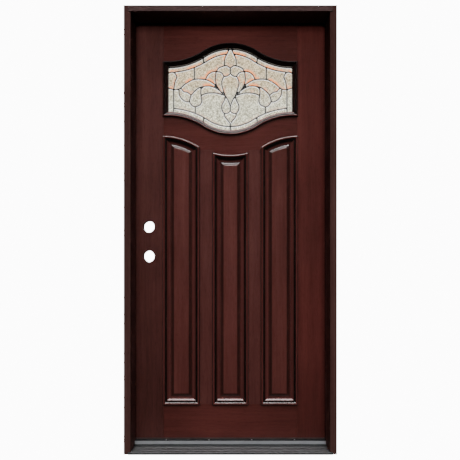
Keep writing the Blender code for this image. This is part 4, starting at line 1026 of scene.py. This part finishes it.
def make_leaded_glass():
    """Make the glass, bevelled along every came, and the rounded lead that holds it.

    painted_glint paints warm glints on the bevels that look down, bright paints
    highlights on those that look up, and rim darkens the lead's edge; the glints fade below the
    window's middle.
    """
    flat, faces, away, step = lattice_mesh()
    count = len(flat)
    on_middle = np.abs(flat[:, 0]) < NEAR
    flat[on_middle, 0] = 0.0
    faces = faces[~on_middle[faces].all(1)]
    mirror = np.where(on_middle, np.arange(count), np.arange(count) + count)
    flat = np.vstack([flat, flat * (-1, 1)])
    faces = np.vstack([faces, mirror[faces][:, ::-1]])
    away = np.concatenate([away, away])
    step = np.vstack([step, step * (-1, 1)])
    half = CAME_WIDTH / 2
    face_away = away[faces].mean(1)
    came_front = SLAB_FACE + GLASS_SINK
    glass_front = came_front + GLASS_TUCK
    glass_back = came_front + CAME_THICK + FIT_GAP + GLASS_THICK

    share = np.clip((away - half) / BEVEL_WIDTH, 0, 1)
    front = glass_front + BEVEL_DEPTH * (1 - share)
    back = np.full(len(flat), glass_back - GLASS_BACK_TUCK)
    length = np.maximum(np.linalg.norm(step, axis=1), 1e-9)
    down = np.clip(step[:, 1] / length, 0, 1)
    up = np.clip(-step[:, 1] / length, 0, 1)
    slope = 1 - share
    glow = np.clip(1 - (away - half) / GLOW_WIDTH, 0, 1)
    upper = np.clip((flat[:, 1] + 0.03) / 0.05, 0.12, 1)
    is_glass = (away[faces] > 0.34 * CAME_WIDTH).all(1)
    points, blocks, used = thickened(flat, faces[is_glass], front, back)
    # Painted warm glints on bevels that look down, painted highlights on bevels, most on those that
    # look up
    masks = {"painted_glint": np.clip(2.4 * glow * down ** 0.8, 0, 1) * upper,
             "bright": np.clip(1.7 * slope ** 0.7 * np.clip(0.2 + up, 0, 1) - 0.1, 0, 1),
             "rim": np.clip(1 - np.abs(away - half) / RIM_SHADE_WIDTH, 0, 1)}
    masks = {key: np.concatenate([value[used], value[used]]) for key, value in masks.items()}
    piece = mesh_piece("leaded_glass_shaped", points, blocks, LOOKS["glass"], "door",
                       masks=masks, angle=8)
    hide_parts("leaded_glass")

    bow = np.sqrt(np.clip(1 - (away / half) ** 2, 0, 1))
    front = came_front + CAME_BOW * (1 - bow)
    back = glass_back - MITRE_GAP - CAME_BACK_BOW * (1 - bow)
    is_came = (away[faces] < half + 3e-5).all(1) & (face_away < half)
    lead_points, lead_blocks, _ = thickened(flat, faces[is_came], front, back)
    rim = [(RIM_INSET - 0.0005, 0.0014), (RIM_INSET, 0.0022), (RIM_INSET, LEAD_DEPTH),
           (LEAD_EDGE, LEAD_DEPTH), (LEAD_EDGE, 0.0), (RIM_INSET - 0.0014, 0.0004)]
    loops = []
    for inset, depth in rim:
        head = window_head(inset, 24)
        loop = np.vstack([head, head * (-1, -1)])
        loops.append(np.stack([loop[:, 0], np.full(len(loop), came_front + depth),
                               loop[:, 1] + WINDOW_CENTRE], 1))
    rows = np.array(loops)
    around = rows.shape[1]
    tube = grid_faces(len(rows) + 1, around, True) % (len(rows) * around)
    if signed_volume(rows.reshape(-1, 3), [tube]) < 0:
        tube = tube[:, ::-1]
    if signed_volume(lead_points, lead_blocks) < 0:
        lead_blocks = [block[:, ::-1] for block in lead_blocks]
    lead = mesh_piece("lead_cames_shaped", np.vstack([lead_points, rows.reshape(-1, 3)]),
                      lead_blocks + [tube + len(lead_points)], LOOKS["lead"], "door",
                      angle=40)
    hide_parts("lead_cames")


make_leaded_glass()


# Floor, light and camera

def soft_light(name, azimuth, elevation, strength):
    """A broad distant light, its direction in degrees from straight before the door."""
    data = bpy.data.lights.new(name, "SUN")
    data.energy = strength
    data.angle = SOFT_SPREAD
    light = new_object(name, data)
    turn, rise = math.radians(azimuth), math.radians(elevation)
    level = math.cos(rise)
    way = Vector((math.sin(turn) * level, -math.cos(turn) * level, math.sin(rise)))
    light.rotation_euler = way.to_track_quat("Z", "Y").to_euler()
    light.visible_glossy = False
    light.visible_transmission = False


def colour_of(tree, value):
    """A grey colour from a value."""
    return put(tree, "ShaderNodeCombineColor", {0: value, 1: value, 2: value}).outputs[0]


def make_studio():
    """A white floor and backdrop, overhead panels for gloss to mirror, three broad soft lights."""
    mesh = bpy.data.meshes.new("floor")
    corners = [(x, y, FLOOR_DROP) for x, y in ((-14, -10), (14, -10), (14, 14), (-14, 14))]
    mesh.from_pydata(corners, [], [(0, 1, 2, 3)])
    made, tree, shader = new_material("pale_floor")
    path = tree.nodes.new("ShaderNodeLightPath")
    through = mix_colour(tree, path.outputs["Is Transmission Ray"], (0, 0, 0, 1), SEEN_THROUGH)
    feed(shader, {
        "Base Color": (0.06, 0.06, 0.06, 1.0), "Roughness": 0.9, "Specular IOR Level": 0.0,
        "Emission Color": mix_colour(tree, path.outputs["Is Camera Ray"], through, WHITE),
        "Emission Strength": 1.0})
    mesh.materials.append(made)
    floor = new_object("floor", mesh)

    world = bpy.data.worlds.new("studio")
    world.use_nodes = True
    bpy.context.scene.world = world
    tree = world.node_tree
    path = tree.nodes.new("ShaderNodeLightPath")
    _, depth, rise = split(tree, tree.nodes.new("ShaderNodeTexCoord").outputs["Generated"])
    panels = plus(tree, ramp(tree, rise, 0.45, 0.58, 0.02, 3.2),
                  ramp(tree, rise, 0.78, 0.86, 0.0, 30.0))
    panels = times(tree, panels, ramp(tree, depth, -0.05, 0.25, 1.0, 0.06))
    ambient = ramp(tree, rise, -0.1, 0.6, 0.002, 0.035)
    light = mix_colour(tree, path.outputs["Is Glossy Ray"], colour_of(tree, ambient),
                       colour_of(tree, panels))
    light = mix_colour(tree, path.outputs["Is Transmission Ray"], light, SEEN_THROUGH)
    light = mix_colour(tree, path.outputs["Is Camera Ray"], light, WHITE)
    feed(tree.nodes["Background"], {"Color": light, "Strength": 1.0})

    soft_light("soft_front", 0.0, 9.5, 1.7)
    soft_light("back_right", 122.0, 28.0, 1.2)
    soft_light("back_left", -122.0, 28.0, 1.2)


def make_camera():
    """The photograph's view: level, a little under half the door's height, with a lens shift."""
    data = bpy.data.cameras.new("camera")
    data.lens = LENS
    data.sensor_width = 36.0
    data.shift_x, data.shift_y = LENS_SHIFT
    camera = new_object("camera", data)
    camera.location = CAMERA_PLACE
    camera.rotation_euler = (math.radians(90), 0.0, 0.0)
    bpy.context.scene.camera = camera


make_studio()
make_camera()
